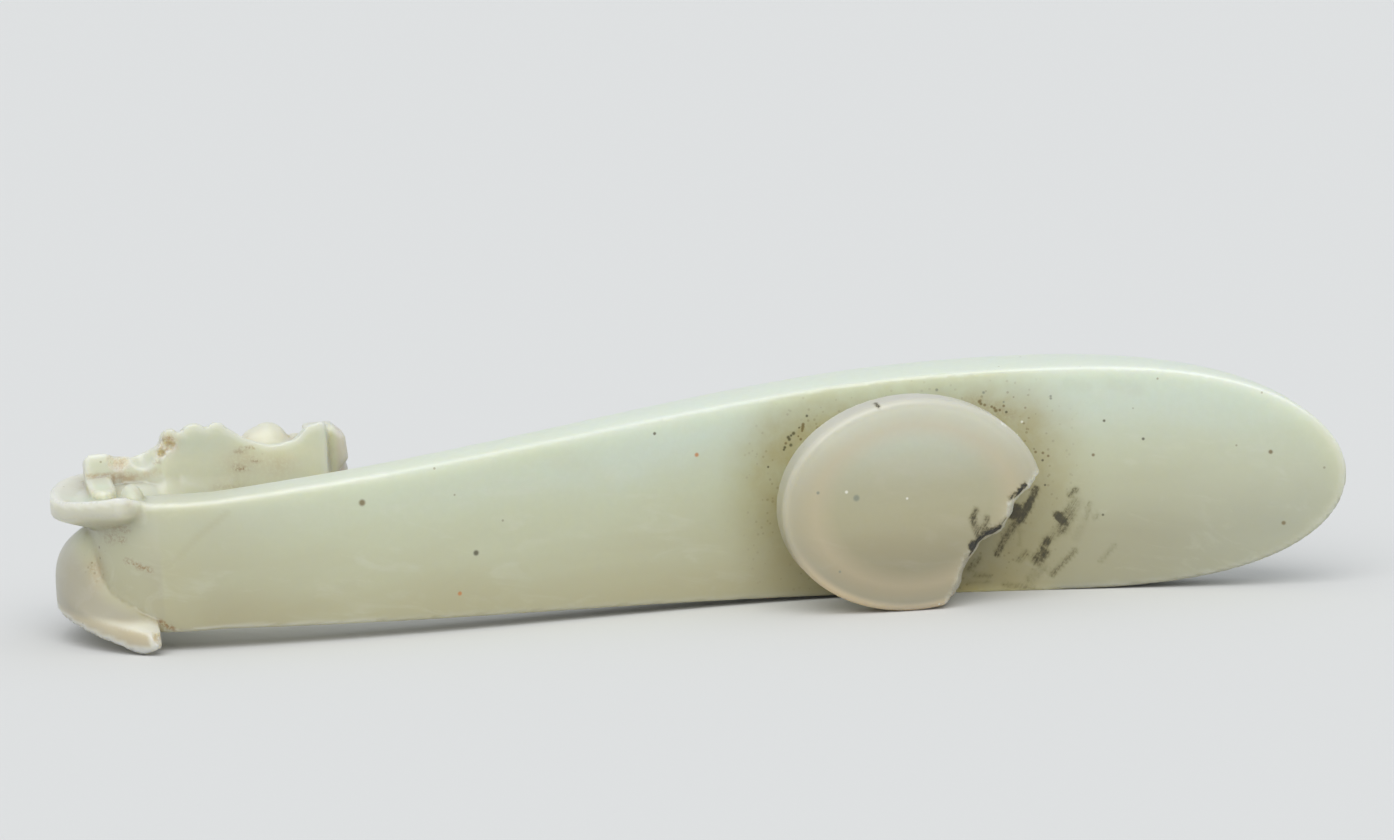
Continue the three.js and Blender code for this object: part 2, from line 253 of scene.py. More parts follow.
# The locks of mane round the bend, as (angle, size). A lock's inner face climbs from its foot on the
# neck to its rim. Past the back of the neck the lower lock's foot crosses over to the upper one.
RIGHT_TIP_ALONG = -5.05
LEFT_TIP_ALONG = -5.3
LEFT_TIP_FADE = 2.6
MANE_END_ANGLE = 158.0
RIGHT_FOOT = [
    (18, 4.35), (26, 4.03), (35, 3.3), (46, 2.6), (54, 1.9), (60, 0.9), (66, -0.8), (75, -2.0), (90, -2.2),
    (130, -1.4), (160, -0.6),
]
LEFT_FOOT = [(18, 4.2), (26, 4.0), (46, 3.1), (60, 2.6), (90, 2.3), (130, 1.5), (160, 0.7)]
MANE_RIM = [(18, 4.95), (25, 4.7), (40, 4.45), (52, 4.2), (65, 3.75), (82, 3.3), (110, 3.0), (160, 2.4)]
MANE_OUTER = [(18, 6.05), (25, 6.55), (41, 6.0), (59, 5.4), (80, 4.9), (110, 4.7), (160, 4.4)]
MANE_FLOOR = [(18, 8.9), (46, 8.75), (60, 8.5), (75, 8.1), (90, 7.8), (130, 7.6), (160, 8.4)]
MANE_REACH = [(18, 11.4), (30, 11.0), (50, 10.6), (90, 10.7), (110, 11.0), (140, 12.1), (160, 12.0)]
MANE_SWELL = [(18, 1.0), (50, 1.02), (65, 1.15), (80, 1.9), (95, 2.6), (160, 2.2)]
MANE_DISH = 0.18
MANE_SINK = 0.6
MANE_SINK_WIDTH = 1.2
MANE_RIDGE_ROUND = 0.22
MANE_INNER_RADIUS = 6.2
MANE_INSET = 0.05
MANE_FLARE_POWER = 1.5
MANE_STEEPNESS = 0.8
MANE_ROUND = 0.27
FARTHEST_PAST_RIM = 3


def neck_half_width(radius, angle):
    """Half the neck's width, pinched towards the outside of the bend."""
    pinched = ease(unit((radius - BEND_INNER_RADIUS - PINCH_START) / PINCH_REACH))
    return curve(angle, NECK_WIDTH) - curve(angle, NECK_PINCH) * pinched


def neck(x, y, z):
    radius, angle = bend(x, y)
    straight = np.where(y < BEND_RADIUS, y, 2 * BEND_RADIUS - y)
    height = np.where(x < -BEND_ALONG, BEND_RADIUS - radius, straight)
    half = neck_half_width(radius, angle)
    across = unit(np.abs(z) / half)
    hollow = curve(angle, NECK_HOLLOW) * (1 - across ** HOLLOW_POWER)
    bulge = SIDE_BULGE * np.sin(np.pi * unit(height / NECK_SIDE_DEPTH))
    back = hollow - height + BACK_CROWN * across ** 2
    outer = both(np.abs(z) - half - bulge, back, BACK_ROUND)
    dx, dy = np.maximum(GAP_START - x, 0), y - BEND_RADIUS
    reach = np.hypot(dx / GAP_REACH, dy / BEND_INNER_RADIUS)
    steep = np.hypot(dx / GAP_REACH ** 2, dy / BEND_INNER_RADIUS ** 2)
    steep = steep / np.maximum(reach, LEAST_GAP_REACH)
    inner = (1 - reach) / np.maximum(steep, LEAST_GAP_RISE) + NECK_CROWN * across ** 2
    rounding = blend(FRONT_ROUND, GAP_ROUND, ease(unit(angle / GAP_ROUND_ANGLE)))
    return np.maximum(both(outer, inner, rounding), x - GAP_START)


def mane(x, y, z):
    radius, angle = bend(x, y)
    left = z > (curve(angle, LEFT_FOOT) - curve(angle, RIGHT_FOOT)) / 2
    rise = np.where(left, z, -z)
    foot = np.where(left, curve(angle, LEFT_FOOT), curve(angle, RIGHT_FOOT))
    rim = curve(angle, MANE_RIM)
    # Away from its foot the lock's inside sinks into the neck.
    floor = curve(angle, MANE_FLOOR) - MANE_SINK * ease(unit((foot - rise) / MANE_SINK_WIDTH))
    reach = curve(angle, MANE_REACH)
    fade = np.where(z > 0, ease(unit((LEFT_TIP_ALONG - x) / LEFT_TIP_FADE)), 1)
    # What is left of the climb from foot to rim, rounded at the rim into a ridge.
    left_over = 1 - np.clip((rise - foot) / (rim - foot), 0, FARTHEST_PAST_RIM)
    left_over = (left_over + np.hypot(left_over, MANE_RIDGE_ROUND / (rim - foot))) / 2
    climb = 1 - left_over ** curve(angle, MANE_SWELL)
    outside = radius - blend(floor, reach, climb * fade)
    out = unit((radius - MANE_INNER_RADIUS) / (reach - MANE_INNER_RADIUS))
    root = neck_half_width(radius, angle) - MANE_INSET
    flat = blend(root, curve(angle, MANE_OUTER), out ** MANE_FLARE_POWER)
    side = np.abs(z) - flat + MANE_DISH * np.sin(np.pi * out) ** 2
    tip = x - np.where(z > 0, LEFT_TIP_ALONG, RIGHT_TIP_ALONG)
    end = np.radians(angle - MANE_END_ANGLE) * radius
    form = both(outside * MANE_STEEPNESS, side, MANE_ROUND)
    form = both(form, np.maximum(tip, end), MANE_ROUND)
    return np.maximum(form, MANE_INNER_RADIUS - radius)


# The jaw seen on its underside: half its width at places along it, and the cheek's scallops as
# (place, width, reach from the middle). Its sides and its end lean.
JAW_HALF_WIDTH = [
    (-2.9, 6.9), (-2.3, 7.4), (-1.2, 7.62), (1.0, 7.8), (2.6, 7.65), (3.15, 7.3), (3.8, 6.8), (4.7, 6.35),
    (6.2, 5.9), (7.4, 5.98), (8.5, 6.35), (9.3, 7.15), (9.9, 7.35), (12.0, 7.35),
]
CHEEK_SCALLOPS = [(-1.95, 0.66, 7.96), (0.0, 1.0, 8.22), (1.85, 0.84, 8.17)]
SCALLOP_DEPTH = 0.95
HEAD_BACK = -2.75
JAW_END = 10.8
MOUTH_HEIGHT = 16.3
SIDE_LEAN = 0.26
END_LEAN = 0.14
LEAN_DEPTH = 3.6
JAW_ROUND = 0.15
JAW_END_ROUND = 0.3

# The upper half of the head
HEAD_TOP = 18.9
MUZZLE_BACK = -3.0
MUZZLE_END = 11.2
MUZZLE_INSET = 1.2
MUZZLE_HALF_WIDTH = 6.0
MUZZLE_ARCH = 0.16
MUZZLE_ARCH_DEPTH = 3
MUZZLE_CROWN = 0.02
MUZZLE_SINK = 1.0
MUZZLE_ROUND = 0.9
MUZZLE_END_ROUND = 0.5
MUZZLE_FILLET = 0.5
LIP_END = 13.1
LIP_OUTLINE = [
    (9.5, -1.0), (9.5, 6.3), (LIP_END - 1.3, 6.3), (LIP_END - 0.3, 5.4), (LIP_END - 0.1, 3.4),
    (LIP_END - 0.9, 2.4), (LIP_END - 0.1, 1.3), (LIP_END, -1.0),
]
LIP_UNDERSIDE = 15.9
LIP_STEP = 0.4
LIP_ROUND = 0.5
LIP_FILLET = 0.35
# Nose, brow, back of the brow, eye and the ridge of the forehead, as (middle, radii, fillet)
FACE_BULGES = [
    ((11.2, 18.4, 1.9), (2.0, 1.4, 1.9), 0.5),
    ((6.6, 18.2, 3.9), (2.0, 1.6, 2.7), 0.9),
    ((5.2, 18.2, 4.0), (1.2, 1.4, 1.9), 0.7),
    ((8.9, 18.4, 4.2), (1.15, 1.1, 1.25), 0.12),
    ((3.0, 18.8, 0), (5.5, 1.0, 1.3), 0.6),
]
# The mouth line, curled at its corner, its part across the front, and the nostrils
MOUTH_LINE = [(JAW_END + 1.2, 15.9, 6.6), (8.4, 15.7, 6.0), (6.0, 15.5, 5.4), (4.6, 16.1, 5.6)]
MOUTH_RADII = [0.32, 0.3, 0.3, 0.45]
FRONT_MOUTH = [(JAW_END + 0.55, 15.75, -7), (JAW_END + 0.55, 15.75, 7)]
FRONT_RADII = [0.16, 0.16]
NOSTRIL = ((12.5, 18.6, 2.0), (0.8, 0.5, 0.6))
GROOVE_ROUND = 0.15


def jaw(x, y, across):
    lean = np.clip(y - JAW_HEIGHT, 0, LEAN_DEPTH)
    wide = across + SIDE_LEAN * lean
    side = wide - curve(x, JAW_HALF_WIDTH)
    for along, width, reach in CHEEK_SCALLOPS:
        lobe = egg(x, wide, 0, (along, reach - SCALLOP_DEPTH, 0), (width, SCALLOP_DEPTH, 1))
        side = np.minimum(side, lobe)
    form = both(side, JAW_HEIGHT - y, JAW_ROUND)
    form = both(form, np.maximum(x - JAW_END - END_LEAN * lean, HEAD_BACK - x), JAW_END_ROUND)
    return both(form, y - MOUTH_HEIGHT, JAW_END_ROUND)


def muzzle(x, y, across):
    arch = MUZZLE_ARCH * np.clip(y - MOUTH_HEIGHT, 0, MUZZLE_ARCH_DEPTH) ** 2
    half = np.minimum(curve(x, JAW_HALF_WIDTH) - MUZZLE_INSET, MUZZLE_HALF_WIDTH) - arch
    form = both(across - half, y - HEAD_TOP + MUZZLE_CROWN * across ** 2, MUZZLE_ROUND)
    form = both(form, np.maximum(x - MUZZLE_END, MUZZLE_BACK - x), MUZZLE_END_ROUND)
    return np.maximum(form, MOUTH_HEIGHT - MUZZLE_SINK - y)


def lip(x, y, across):
    depth = np.maximum(LIP_UNDERSIDE - y, y - HEAD_TOP + LIP_STEP)
    return both(polygon(x, across, LIP_OUTLINE), depth, LIP_ROUND)


def head(x, y, z):
    z = z - HEAD_ACROSS
    across = np.abs(z)
    form = either(jaw(x, y, across), muzzle(x, y, across), MUZZLE_FILLET)
    form = either(form, lip(x, y, across), LIP_FILLET)
    for middle, radii, fillet in FACE_BULGES:
        form = either(form, egg(x, y, across, middle, radii), fillet)
    for groove in (
        rod(x, y, across, MOUTH_LINE, MOUTH_RADII),
        rod(x, y, z, FRONT_MOUTH, FRONT_RADII),
        egg(x, y, across, *NOSTRIL),
    ):
        form = both(form, -groove, GROOVE_ROUND)
    return form


# A horn seen from the back: a block with a tongue below it, and a bar that rises to the cheek.
BLOCK_OUTLINE = [
    (-8.92, 4.2), (-8.92, 6.65), (-8.6, 6.98), (-7.2, 7.0), (-6.6, 6.7), (-5.4, 6.55), (-5.3, 4.2),
]
BAR_OUTLINE = [
    (-6.0, 4.2), (-6.0, 6.4), (-5.2, 6.45), (-4.0, 6.82), (-2.6, 7.45), (-1.6, 7.5), (-1.6, 4.2),
]
BAR_START = -6.9
BAR_LENGTH = 4.0
BAR_START_STEP = 0.2
BAR_END_STEP = 0.1
BAR_FILLET = 0.2
BAR_HOLLOW = ((-4.4, 12.3, 6.8), (1.35, 1.9, 1.5))
BAR_HOLLOW_ROUND = 0.15
HORN_FACE = 13.75
HORN_DEPTH = 2.6
HORN_LEAN = 0.3
HORN_LEAN_DEPTH = 3
HORN_ROUND = 0.25
TONGUE_OUTLINE = [
    (-8.95, 14.2), (-8.95, 9.5), (-8.7, 8.6), (-8.1, 8.1), (-7.5, 8.3), (-7.0, 9.0), (-6.85, 10.2),
    (-6.85, 14.2),
]
TONGUE_ROOT = 3.5
TONGUE_TOP = 5.0
TONGUE_ROUND = 0.3
TONGUE_FILLET = 0.12
# The stump of a broken lock on the upper side: its middle and its radii.
STUMP = ((-6.2, 3.6, 5.25), (0.9, 1.9, 1.15))


def horn(x, y, z):
    across = np.abs(z)
    high = across + HORN_LEAN * np.clip(y - HORN_FACE, 0, HORN_LEAN_DEPTH)
    top = y - HORN_FACE - HORN_DEPTH
    block = both(polygon(x, high, BLOCK_OUTLINE), np.maximum(HORN_FACE - y, top), HORN_ROUND)
    share = unit((x - BAR_START) / BAR_LENGTH)
    face = blend(HORN_FACE + BAR_START_STEP, JAW_HEIGHT + BAR_END_STEP, share)
    bar = both(polygon(x, high, BAR_OUTLINE), np.maximum(face - y, top), HORN_ROUND)
    bar = both(bar, -egg(x, y, high, *BAR_HOLLOW), BAR_HOLLOW_ROUND)
    sides = np.maximum(across - TONGUE_TOP, TONGUE_ROOT - across)
    tongue = both(polygon(x, y, TONGUE_OUTLINE), sides, TONGUE_ROUND)
    return either(either(block, bar, BAR_FILLET), tongue, TONGUE_FILLET)


# Chips and pits, as (middle, radii): the cheek's rear corner, the stump, beside the tongue and in the
# lower lock's tip.
PITS = [
    ((-2.25, 12.85, 7.35), (0.6, 0.6, 0.45)),
    ((-2.75, 13.0, 6.75), (0.35, 0.6, 0.3)),
    ((-6.3, -0.9, 5.7), (0.75, 0.9, 0.42)),
    ((-9.5, 8.6, 5.0), (0.55, 2.0, 0.45)),
    ((-6.5, 8.2, 5.0), (0.5, 2.2, 0.5)),
    ((-6.3, 13.55, 6.2), (0.85, 0.5, 0.75)),
    ((-5.3, -1.1, -5.15), (0.42, 0.5, 0.4)),
]
PIT_ROUGHNESS = 0.08


def damage(x, y, z):
    """Distance to the nearest chip or pit."""
    nearest = np.full(x.shape, FAR)
    for middle, radii in PITS:
        nearest = np.minimum(nearest, egg(x, y, z, middle, radii))
    return nearest + PIT_ROUGHNESS * rough(x, y, z)


# The break in the button's lower right: a worn outline of its own, from the button's middle.
CHIP_OUTLINE = [
    (13.0, 2.3), (10.75, 2.3), (9.6, 0.9), (8.6, 0.2), (8.0, -0.5), (7.7, -1.5), (7.1, -2.45),
    (6.2, -2.75), (5.2, -3.3), (4.7, -4.2), (4.0, -4.9), (3.5, -6.0), (3.1, -7.2), (1.9, -8.8),
    (1.9, -12.0), (13.0, -12.0),
]
CHIP_SLOPE = 0.42
CHIP_ROUGHNESS = 0.11


def rough(x, y, z):
    """An uneven, repeatable wobble between about -1 and 1."""
    wave = np.sin(2.9 * x + 1.7 * np.sin(2.3 * y + 0.4)) * np.cos(3.7 * z + 1.3 * np.sin(1.9 * x))
    fine = np.sin(7.3 * x + 5.1 * z + 2.0 * np.sin(4.7 * y)) * np.cos(6.1 * y - 8.3 * z)
    return 0.6 * wave + 0.4 * fine


def button_face():
    return back_rise(BUTTON_ALONG) - BUTTON_STAND_OFF


def chip(x, y, z):
    """Distance to the piece that is broken off the button."""
    broken = polygon(x - BUTTON_ALONG, z - BUTTON_ACROSS, CHIP_OUTLINE)
    deep = np.clip(y - button_face(), 0, BUTTON_THICKNESS)
    return broken + CHIP_SLOPE * deep + CHIP_ROUGHNESS * rough(x, y, z)


def button_reach(x, z):
    """Nought in the button's middle and one on its rim."""
    return np.hypot((x - BUTTON_ALONG) / BUTTON_HALF_LENGTH, (z - BUTTON_ACROSS) / BUTTON_HALF_HEIGHT)


def button(x, y, z):
    dx, dz = x - BUTTON_ALONG, z - BUTTON_ACROSS
    reach = button_reach(x, z)
    steep = np.hypot(dx / BUTTON_HALF_LENGTH ** 2, dz / BUTTON_HALF_HEIGHT ** 2)
    rim = (reach - 1) / np.maximum(steep / np.maximum(reach, LEAST_REACH), LEAST_RIM_RISE)
    height = y - button_face()
    slab = np.maximum(BUTTON_CROWN * reach ** 2 - height, height - BUTTON_THICKNESS)
    plate = both(rim, slab, BUTTON_ROUND)
    return both(plate, -chip(x, y, z), BREAK_ROUND)


def stem(x, y, z):
    dx, dz = x - BUTTON_ALONG, z - BUTTON_ACROSS
    reach = np.hypot(dx / STEM_HALF_LENGTH, dz / STEM_HALF_HEIGHT)
    post = (reach - 1) * STEM_HALF_HEIGHT * STEM_STEEPNESS
    ends = np.maximum(button_face() + STEM_SINK - y, y - back_rise(BUTTON_ALONG) - STEM_ROOT)
    return np.maximum(post, ends)


def stone(x, y, z):
    """The whole carving."""
    body = np.minimum(shaft(x, y, z), neck(x, y, z))
    body = either(body, mane(x, y, z), MANE_FILLET)
    body = either(body, head(x, y, z), HEAD_FILLET)
    body = either(body, horn(x, y, z), HORN_FILLET)
    body = either(body, egg(x, y, z, *STUMP), STUMP_FILLET)
    body = both(body, -damage(x, y, z), PIT_ROUND)
    post = either(body, stem(x, y, z), STEM_FILLET)
    return either(post, button(x, y, z), BUTTON_FILLET)


# The skin is found on a lattice, in blocks of points, and its field is cut off a few steps away.
SKIN_LOW = (-14.5, -6.0, -11.5)
SKIN_HIGH = (95.0, 23.0, 11.5)
SKIN_STEP = 0.285
BLOCK = 8
BLOCK_REACH = 1.4
BLOCKS_AT_ONCE = 400
CUT_OFF = 4.0
LEAST_SLOPE = 0.05


def skin(field, low, high, step):
    """Mesh of the zero surface of a field, worked out only in the blocks that it passes through."""
    axes = []
    for a, b in zip(low, high):
        count = math.ceil(len(np.arange(a, b + step, step)) / BLOCK) * BLOCK
        axes.append(a + step * np.arange(count))
    centres = [axis.reshape(-1, BLOCK).mean(1) for axis in axes]
    coarse = field(*np.meshgrid(*centres, indexing="ij"))
    values = np.sign(coarse).astype(np.float32)
    for n in range(3):
        values = np.repeat(values, BLOCK, n)
    near = np.argwhere(np.abs(coarse) < BLOCK * step * BLOCK_REACH)
    span = np.arange(BLOCK)
    for group in np.array_split(near, max(1, len(near) // BLOCKS_AT_ONCE)):
        i, j, k = (group[:, n, None, None, None] * BLOCK for n in range(3))
        i = i + span[None, :, None, None]
        j = j + span[None, None, :, None]
        k = k + span[None, None, None, :]
        i, j, k = np.broadcast_arrays(i, j, k)
        found = field(axes[0][i], axes[1][j], axes[2][k]) / step
        values[i, j, k] = np.clip(found, -CUT_OFF, CUT_OFF)
    grid = openvdb.FloatGrid(CUT_OFF)
    grid.copyFromArray(values)
    points, triangles, quads = grid.convertToPolygons(isovalue=0.0)
    return np.asarray(points) * step + np.asarray(low), triangles, quads


def steepest(field, points, reach=0.02):
    """Field and its direction of steepest rise at each point."""
    value = field(*points.T)
    rise = np.stack([
        field(*(points + reach * axis).T) - field(*(points - reach * axis).T) for axis in np.eye(3)
    ], 1)
    return value, rise / (2 * reach)


def settle(field, points, rounds=3, most=0.1):
    """Moves points on to the field's true surface and gives its normals and steepness there."""
    for _ in range(rounds):
        value, rise = steepest(field, points)
        length = np.maximum((rise ** 2).sum(1), LEAST_SLOPE)
        points = points - rise * np.clip(value / length, -most, most)[:, None]
    _, rise = steepest(field, points)
    steepness = np.maximum(np.linalg.norm(rise, axis=1), TINY)
    return points, rise / steepness[:, None], steepness


# The two mounts in the part's own axes
BUTTON_POINT = np.array([BUTTON_ALONG - 2.5, button_face(), BUTTON_ACROSS + 1.0])
JAW_POINT = np.array([4.0, JAW_HEIGHT, HEAD_ACROSS])


def row_axes():
    """The part's axes and origin in the row, from the two mounts on the hook's flat faces."""
    mounts = {mount["name"]: mount for mount in frame["record"]["mounts"]}
    there = [np.array(mounts[name]["pos_m"]) / MM for name in ("button_face", "jaw_underside")]
    front = -np.array(mounts["button_face"]["axis"])
    here = BUTTON_POINT - JAW_POINT
    seen = there[0] - there[1]
    seen = seen - front * (seen @ front)
    # Along the shaft, turned about the front direction until both mounts fit.
    angle = math.atan2(here[2], here[0])
    flat = seen / np.linalg.norm(seen)
    along = flat * math.cos(angle) - np.cross(flat, front) * math.sin(angle)
    across = np.cross(along, front)
    turn = np.stack([along, front, across], 1)
    return turn, there[0] - turn @ BUTTON_POINT


turn, origin = row_axes()


def to_row(points):
    return (np.asarray(points) @ turn.T + origin) * MM


# Strokes on the stone, as (from x, from z, to x, to z, half a width, strength).
INK_ON_BACK = [
    (66.6, -2.3, 66.4, -2.75, 0.42, 1.0), (68.3, -0.7, 67.6, -2.1, 0.28, 0.75),
    (67.6, -2.1, 66.9, -3.2, 0.36, 0.85), (66.9, -3.2, 65.7, -4.7, 0.42, 0.5),
    (65.7, -4.7, 65.0, -6.1, 0.3, 0.55), (67.0, -4.2, 66.8, -5.4, 0.2, 0.3),
    (71.5, -0.9, 71.0, -1.3, 0.3, 0.5), (71.4, -2.0, 70.9, -2.9, 0.6, 0.36),
    (70.9, -2.9, 70.3, -4.1, 0.62, 0.48), (70.0, -3.0, 70.4, -3.6, 0.32, 0.9),
    (70.2, -4.2, 69.1, -5.1, 0.5, 0.4), (69.1, -5.1, 68.6, -6.1, 0.34, 0.68),
    (68.8, -6.2, 68.2, -6.7, 0.5, 0.62), (67.4, -6.1, 66.8, -6.7, 0.34, 0.4),
    (68.6, -7.4, 67.7, -8.4, 0.55, 0.34), (72.6, -2.1, 72.2, -3.4, 0.24, 0.38),
    (72.2, -3.4, 71.4, -5.0, 0.4, 0.24), (71.3, -6.1, 69.4, -8.1, 0.27, 0.5),
    (74.5, -5.7, 73.3, -7.1, 0.24, 0.34), (73.2, -3.0, 72.9, -3.4, 0.22, 0.4),
    (63.5, -6.5, 62.7, -7.3, 0.34, 0.4), (63.2, -7.9, 64.3, -7.95, 0.28, 0.4),
    (62.6, -8.4, 64.4, -8.6, 0.2, 0.3), (65.6, -8.8, 67.8, -9.2, 0.32, 0.38),
    (69.6, -2.2, 66.6, -7.2, 1.5, 0.13), (66.0, -5.6, 64.6, -8.2, 1.3, 0.16),
    (70.0, -6.5, 66.0, -8.6, 1.3, 0.12), (71.1, 8.0, 72.6, 7.7, 0.5, 0.14),
    (74.6, 7.9, 76.6, 7.4, 0.6, 0.14),
]
INK_ON_BUTTON = [
    (65.7, 1.2, 65.1, 0.6, 0.24, 0.95), (65.1, 0.6, 64.5, 0.25, 0.24, 0.75),
    (64.0, -1.5, 63.6, -1.8, 0.2, 0.5), (63.4, -2.35, 62.2, -2.85, 0.42, 1.0),
    (62.2, -2.85, 61.2, -3.5, 0.4, 1.0), (61.3, -3.4, 61.1, -4.3, 0.2, 0.9),
    (61.5, -0.5, 61.2, -1.3, 0.28, 0.6), (61.2, -1.2, 61.6, -2.4, 0.36, 0.5),
    (62.4, -1.2, 62.2, -2.2, 0.3, 0.5), (53.65, 8.78, 53.85, 8.74, 0.13, 0.75),
]
BROWN_ON_BACK = [
    (63.4, 6.9, 66.4, 5.7, 0.5, 0.22), (-8.8, 3.3, -7.0, 3.1, 0.32, 0.5),
    (-7.1, 0.55, -5.4, -0.1, 0.18, 0.85), (-8.1, 2.4, -7.3, 2.2, 0.25, 0.8),
    (-8.9, 2.5, -8.4, 2.1, 0.45, 0.75), (-4.9, -4.3, -3.9, -4.95, 0.17, 1.0),
]
ORANGE_ON_HEAD = [
    (-8.9, 4.95, -5.2, 4.85, 0.3, 0.75), (-5.2, 4.85, -3.2, 5.2, 0.26, 0.4),
]
BROWN_ON_HEAD = [
    (-2.9, 6.2, -3.3, 6.0, 0.16, 0.5), (-1.9, 7.9, -1.6, 7.3, 0.14, 0.7),
    (-2.6, 7.9, -1.9, 7.95, 0.14, 0.7), (3.4, 6.4, 4.8, 6.6, 0.15, 0.6),
    (3.2, 5.0, 4.0, 4.9, 0.18, 0.8), (4.6, 5.6, 5.1, 5.4, 0.15, 0.75),
    (1.4, 3.6, 4.6, 3.2, 0.16, 0.2),
]
# Painted highlight lines along a ridge on the head
HIGHLIGHT_ON_HEAD = [
    (-4.1, 5.2, -2.9, 4.85, 0.14, 0.7), (-2.9, 4.85, -1.7, 4.5, 0.14, 0.8),
    (-1.7, 4.5, -0.3, 3.95, 0.14, 0.7), (-0.3, 3.95, 0.7, 3.6, 0.14, 0.5),
]
SCRATCHES_ON_BACK = [
    (-4.2, 0.3, -2.9, 1.2, 0.2, 0.16), (-2.9, 1.2, -1.7, 2.4, 0.2, 0.18),
    (-1.7, 2.4, 0.9, 4.2, 0.22, 0.18),
]
STROKE_SOFTNESS = 1.6

# Small spots on the back, as (x, z, radius, colour).
BROWN = (0.22, 0.16, 0.06)
ORANGE = (0.62, 0.27, 0.08)
DARK = (0.10, 0.09, 0.04)
GREY = (0.28, 0.30, 0.24)
WHITE = (0.9, 0.9, 0.84)
SPOTS = [
    (11.81, 3.96, 0.3, BROWN), (40.14, 4.4, 0.2, ORANGE), (36.63, 6.58, 0.15, DARK),
    (20.96, -1.27, 0.26, DARK), (19.44, -4.47, 0.2, ORANGE), (86.93, 1.87, 0.2, BROWN),
    (87.83, -4.16, 0.2, BROWN), (73.92, 4.84, 0.13, DARK), (76.97, 3.22, 0.14, DARK),
    (72.96, 2.0, 0.15, BROWN), (60.58, 7.99, 0.14, GREY), (46.2, 2.7, 0.11, DARK),
    (69.03, -0.4, 0.11, DARK), (73.6, -3.1, 0.12, DARK), (68.9, 1.7, 0.12, DARK),
    (49.7, 6.61, 0.13, DARK), (49.35, 5.94, 0.16, BROWN), (49.32, 5.75, 0.17, BROWN),
    (49.27, 5.56, 0.15, BROWN), (49.24, 5.4, 0.11, BROWN), (48.99, 5.69, 0.09, DARK),
    (48.5, 5.27, 0.17, DARK), (48.28, 5.11, 0.12, DARK), (48.03, 4.99, 0.16, DARK),
    (48.12, 4.81, 0.16, DARK), (49.09, 4.72, 0.13, BROWN), (47.8, 4.51, 0.13, BROWN),
    (47.7, 4.18, 0.14, DARK), (47.61, 4.0, 0.12, DARK), (48.22, 4.32, 0.16, DARK),
    (48.89, 4.99, 0.09, BROWN), (64.36, 7.58, 0.13, GREY), (64.0, 6.84, 0.16, BROWN),
    (64.11, 6.65, 0.14, BROWN), (64.41, 6.54, 0.14, BROWN), (64.97, 6.37, 0.13, BROWN),
    (65.18, 6.24, 0.13, BROWN), (65.29, 6.02, 0.17, BROWN), (65.94, 6.39, 0.13, BROWN),
    (65.95, 6.72, 0.1, GREY), (66.13, 5.87, 0.13, DARK), (67.35, 5.0, 0.12, WHITE),
    (69.74, 7.05, 0.11, GREY), (69.74, 6.86, 0.12, GREY), (68.36, 2.42, 0.13, BROWN),
    (68.94, 2.32, 0.13, BROWN), (69.36, 2.05, 0.12, BROWN), (66.9, 3.9, 0.12, WHITE),
]
SPOTS_ON_BUTTON = [
    (50.8, 1.97, 0.15, WHITE), (55.8, 1.0, 0.12, WHITE), (51.6, 1.4, 0.3, GREY),
    (48.45, 2.1, 0.15, GREY), (64.1, 6.5, 0.2, WHITE), (64.35, 6.33, 0.2, WHITE),
    (58.2, -8.1, 0.1, WHITE), (50.0, -4.6, 0.12, GREY),
]

# Soft blobs, as (strength, middle, radii).
STAINS = [
    (0.9, (-2.3, 12.8, 7.6), (1.2, 1.5, 1.1)), (0.5, (-6.1, 13.8, 6.1), (0.9, 1.5, 0.9)),
    (0.55, (-9.0, 9.0, 5.2), (0.8, 2.2, 0.8)), (0.75, (-6.9, 8.6, 5.2), (0.8, 2.0, 0.8)),
    (0.6, (-6.3, -0.6, 5.6), (0.9, 1.2, 0.6)), (0.35, (-5.9, 2.6, 6.0), (0.5, 1.2, 1.2)),
    (0.9, (-6.1, 1.9, 4.7), (0.7, 0.9, 0.6)), (0.7, (-5.2, -1.2, -5.1), (0.7, 0.8, 0.6)),
    (0.5, (-9.2, 5.2, -1.0), (1.0, 1.5, 2.6)), (0.35, (3.7, 12.8, 5.5), (2.2, 1.0, 1.6)),
    (0.3, (6.8, 12.8, 4.9), (2.0, 1.0, 1.6)), (0.25, (2.6, 12.8, 2.5), (2.5, 1.0, 2.5)),
    (0.2, (11.4, 14.6, 4.0), (0.8, 1.6, 5.0)), (0.7, (-6.4, 0.0, 5.6), (0.7, 1.0, 0.6)),
]
SPECKLED = [
    (1.0, (3.6, 12.8, 5.4), (2.2, 1.0, 1.5)), (1.0, (5.4, 12.8, 6.2), (1.6, 1.0, 0.8)),
    (1.0, (-9.3, 5.0, 1.0), (1.2, 3.0, 3.0)), (0.7, (48.5, 3.0, 4.6), (2.4, 3.0, 3.0)),
    (0.7, (66.0, 5.0, 6.0), (3.0, 3.0, 2.5)),
]
DARK_LINE = (0.35, (-6.4, 13.9, 4.95), (4.0, 0.9, 0.28))
DARK_DOTS = [
    (-9.2, 7.4, 2.3), (-9.3, 7.3, 0.3), (-9.15, 7.2, -1.6), (-6.55, 8.6, 4.9), (-6.5, 10.8, 4.9),
    (-9.3, 9.8, 4.9), (-9.75, 5.3, 1.6), (-9.6, 5.1, -0.4),
]
DOT_RADII = (0.5, 0.8, 0.5)
BLOB_FALL = 2.2

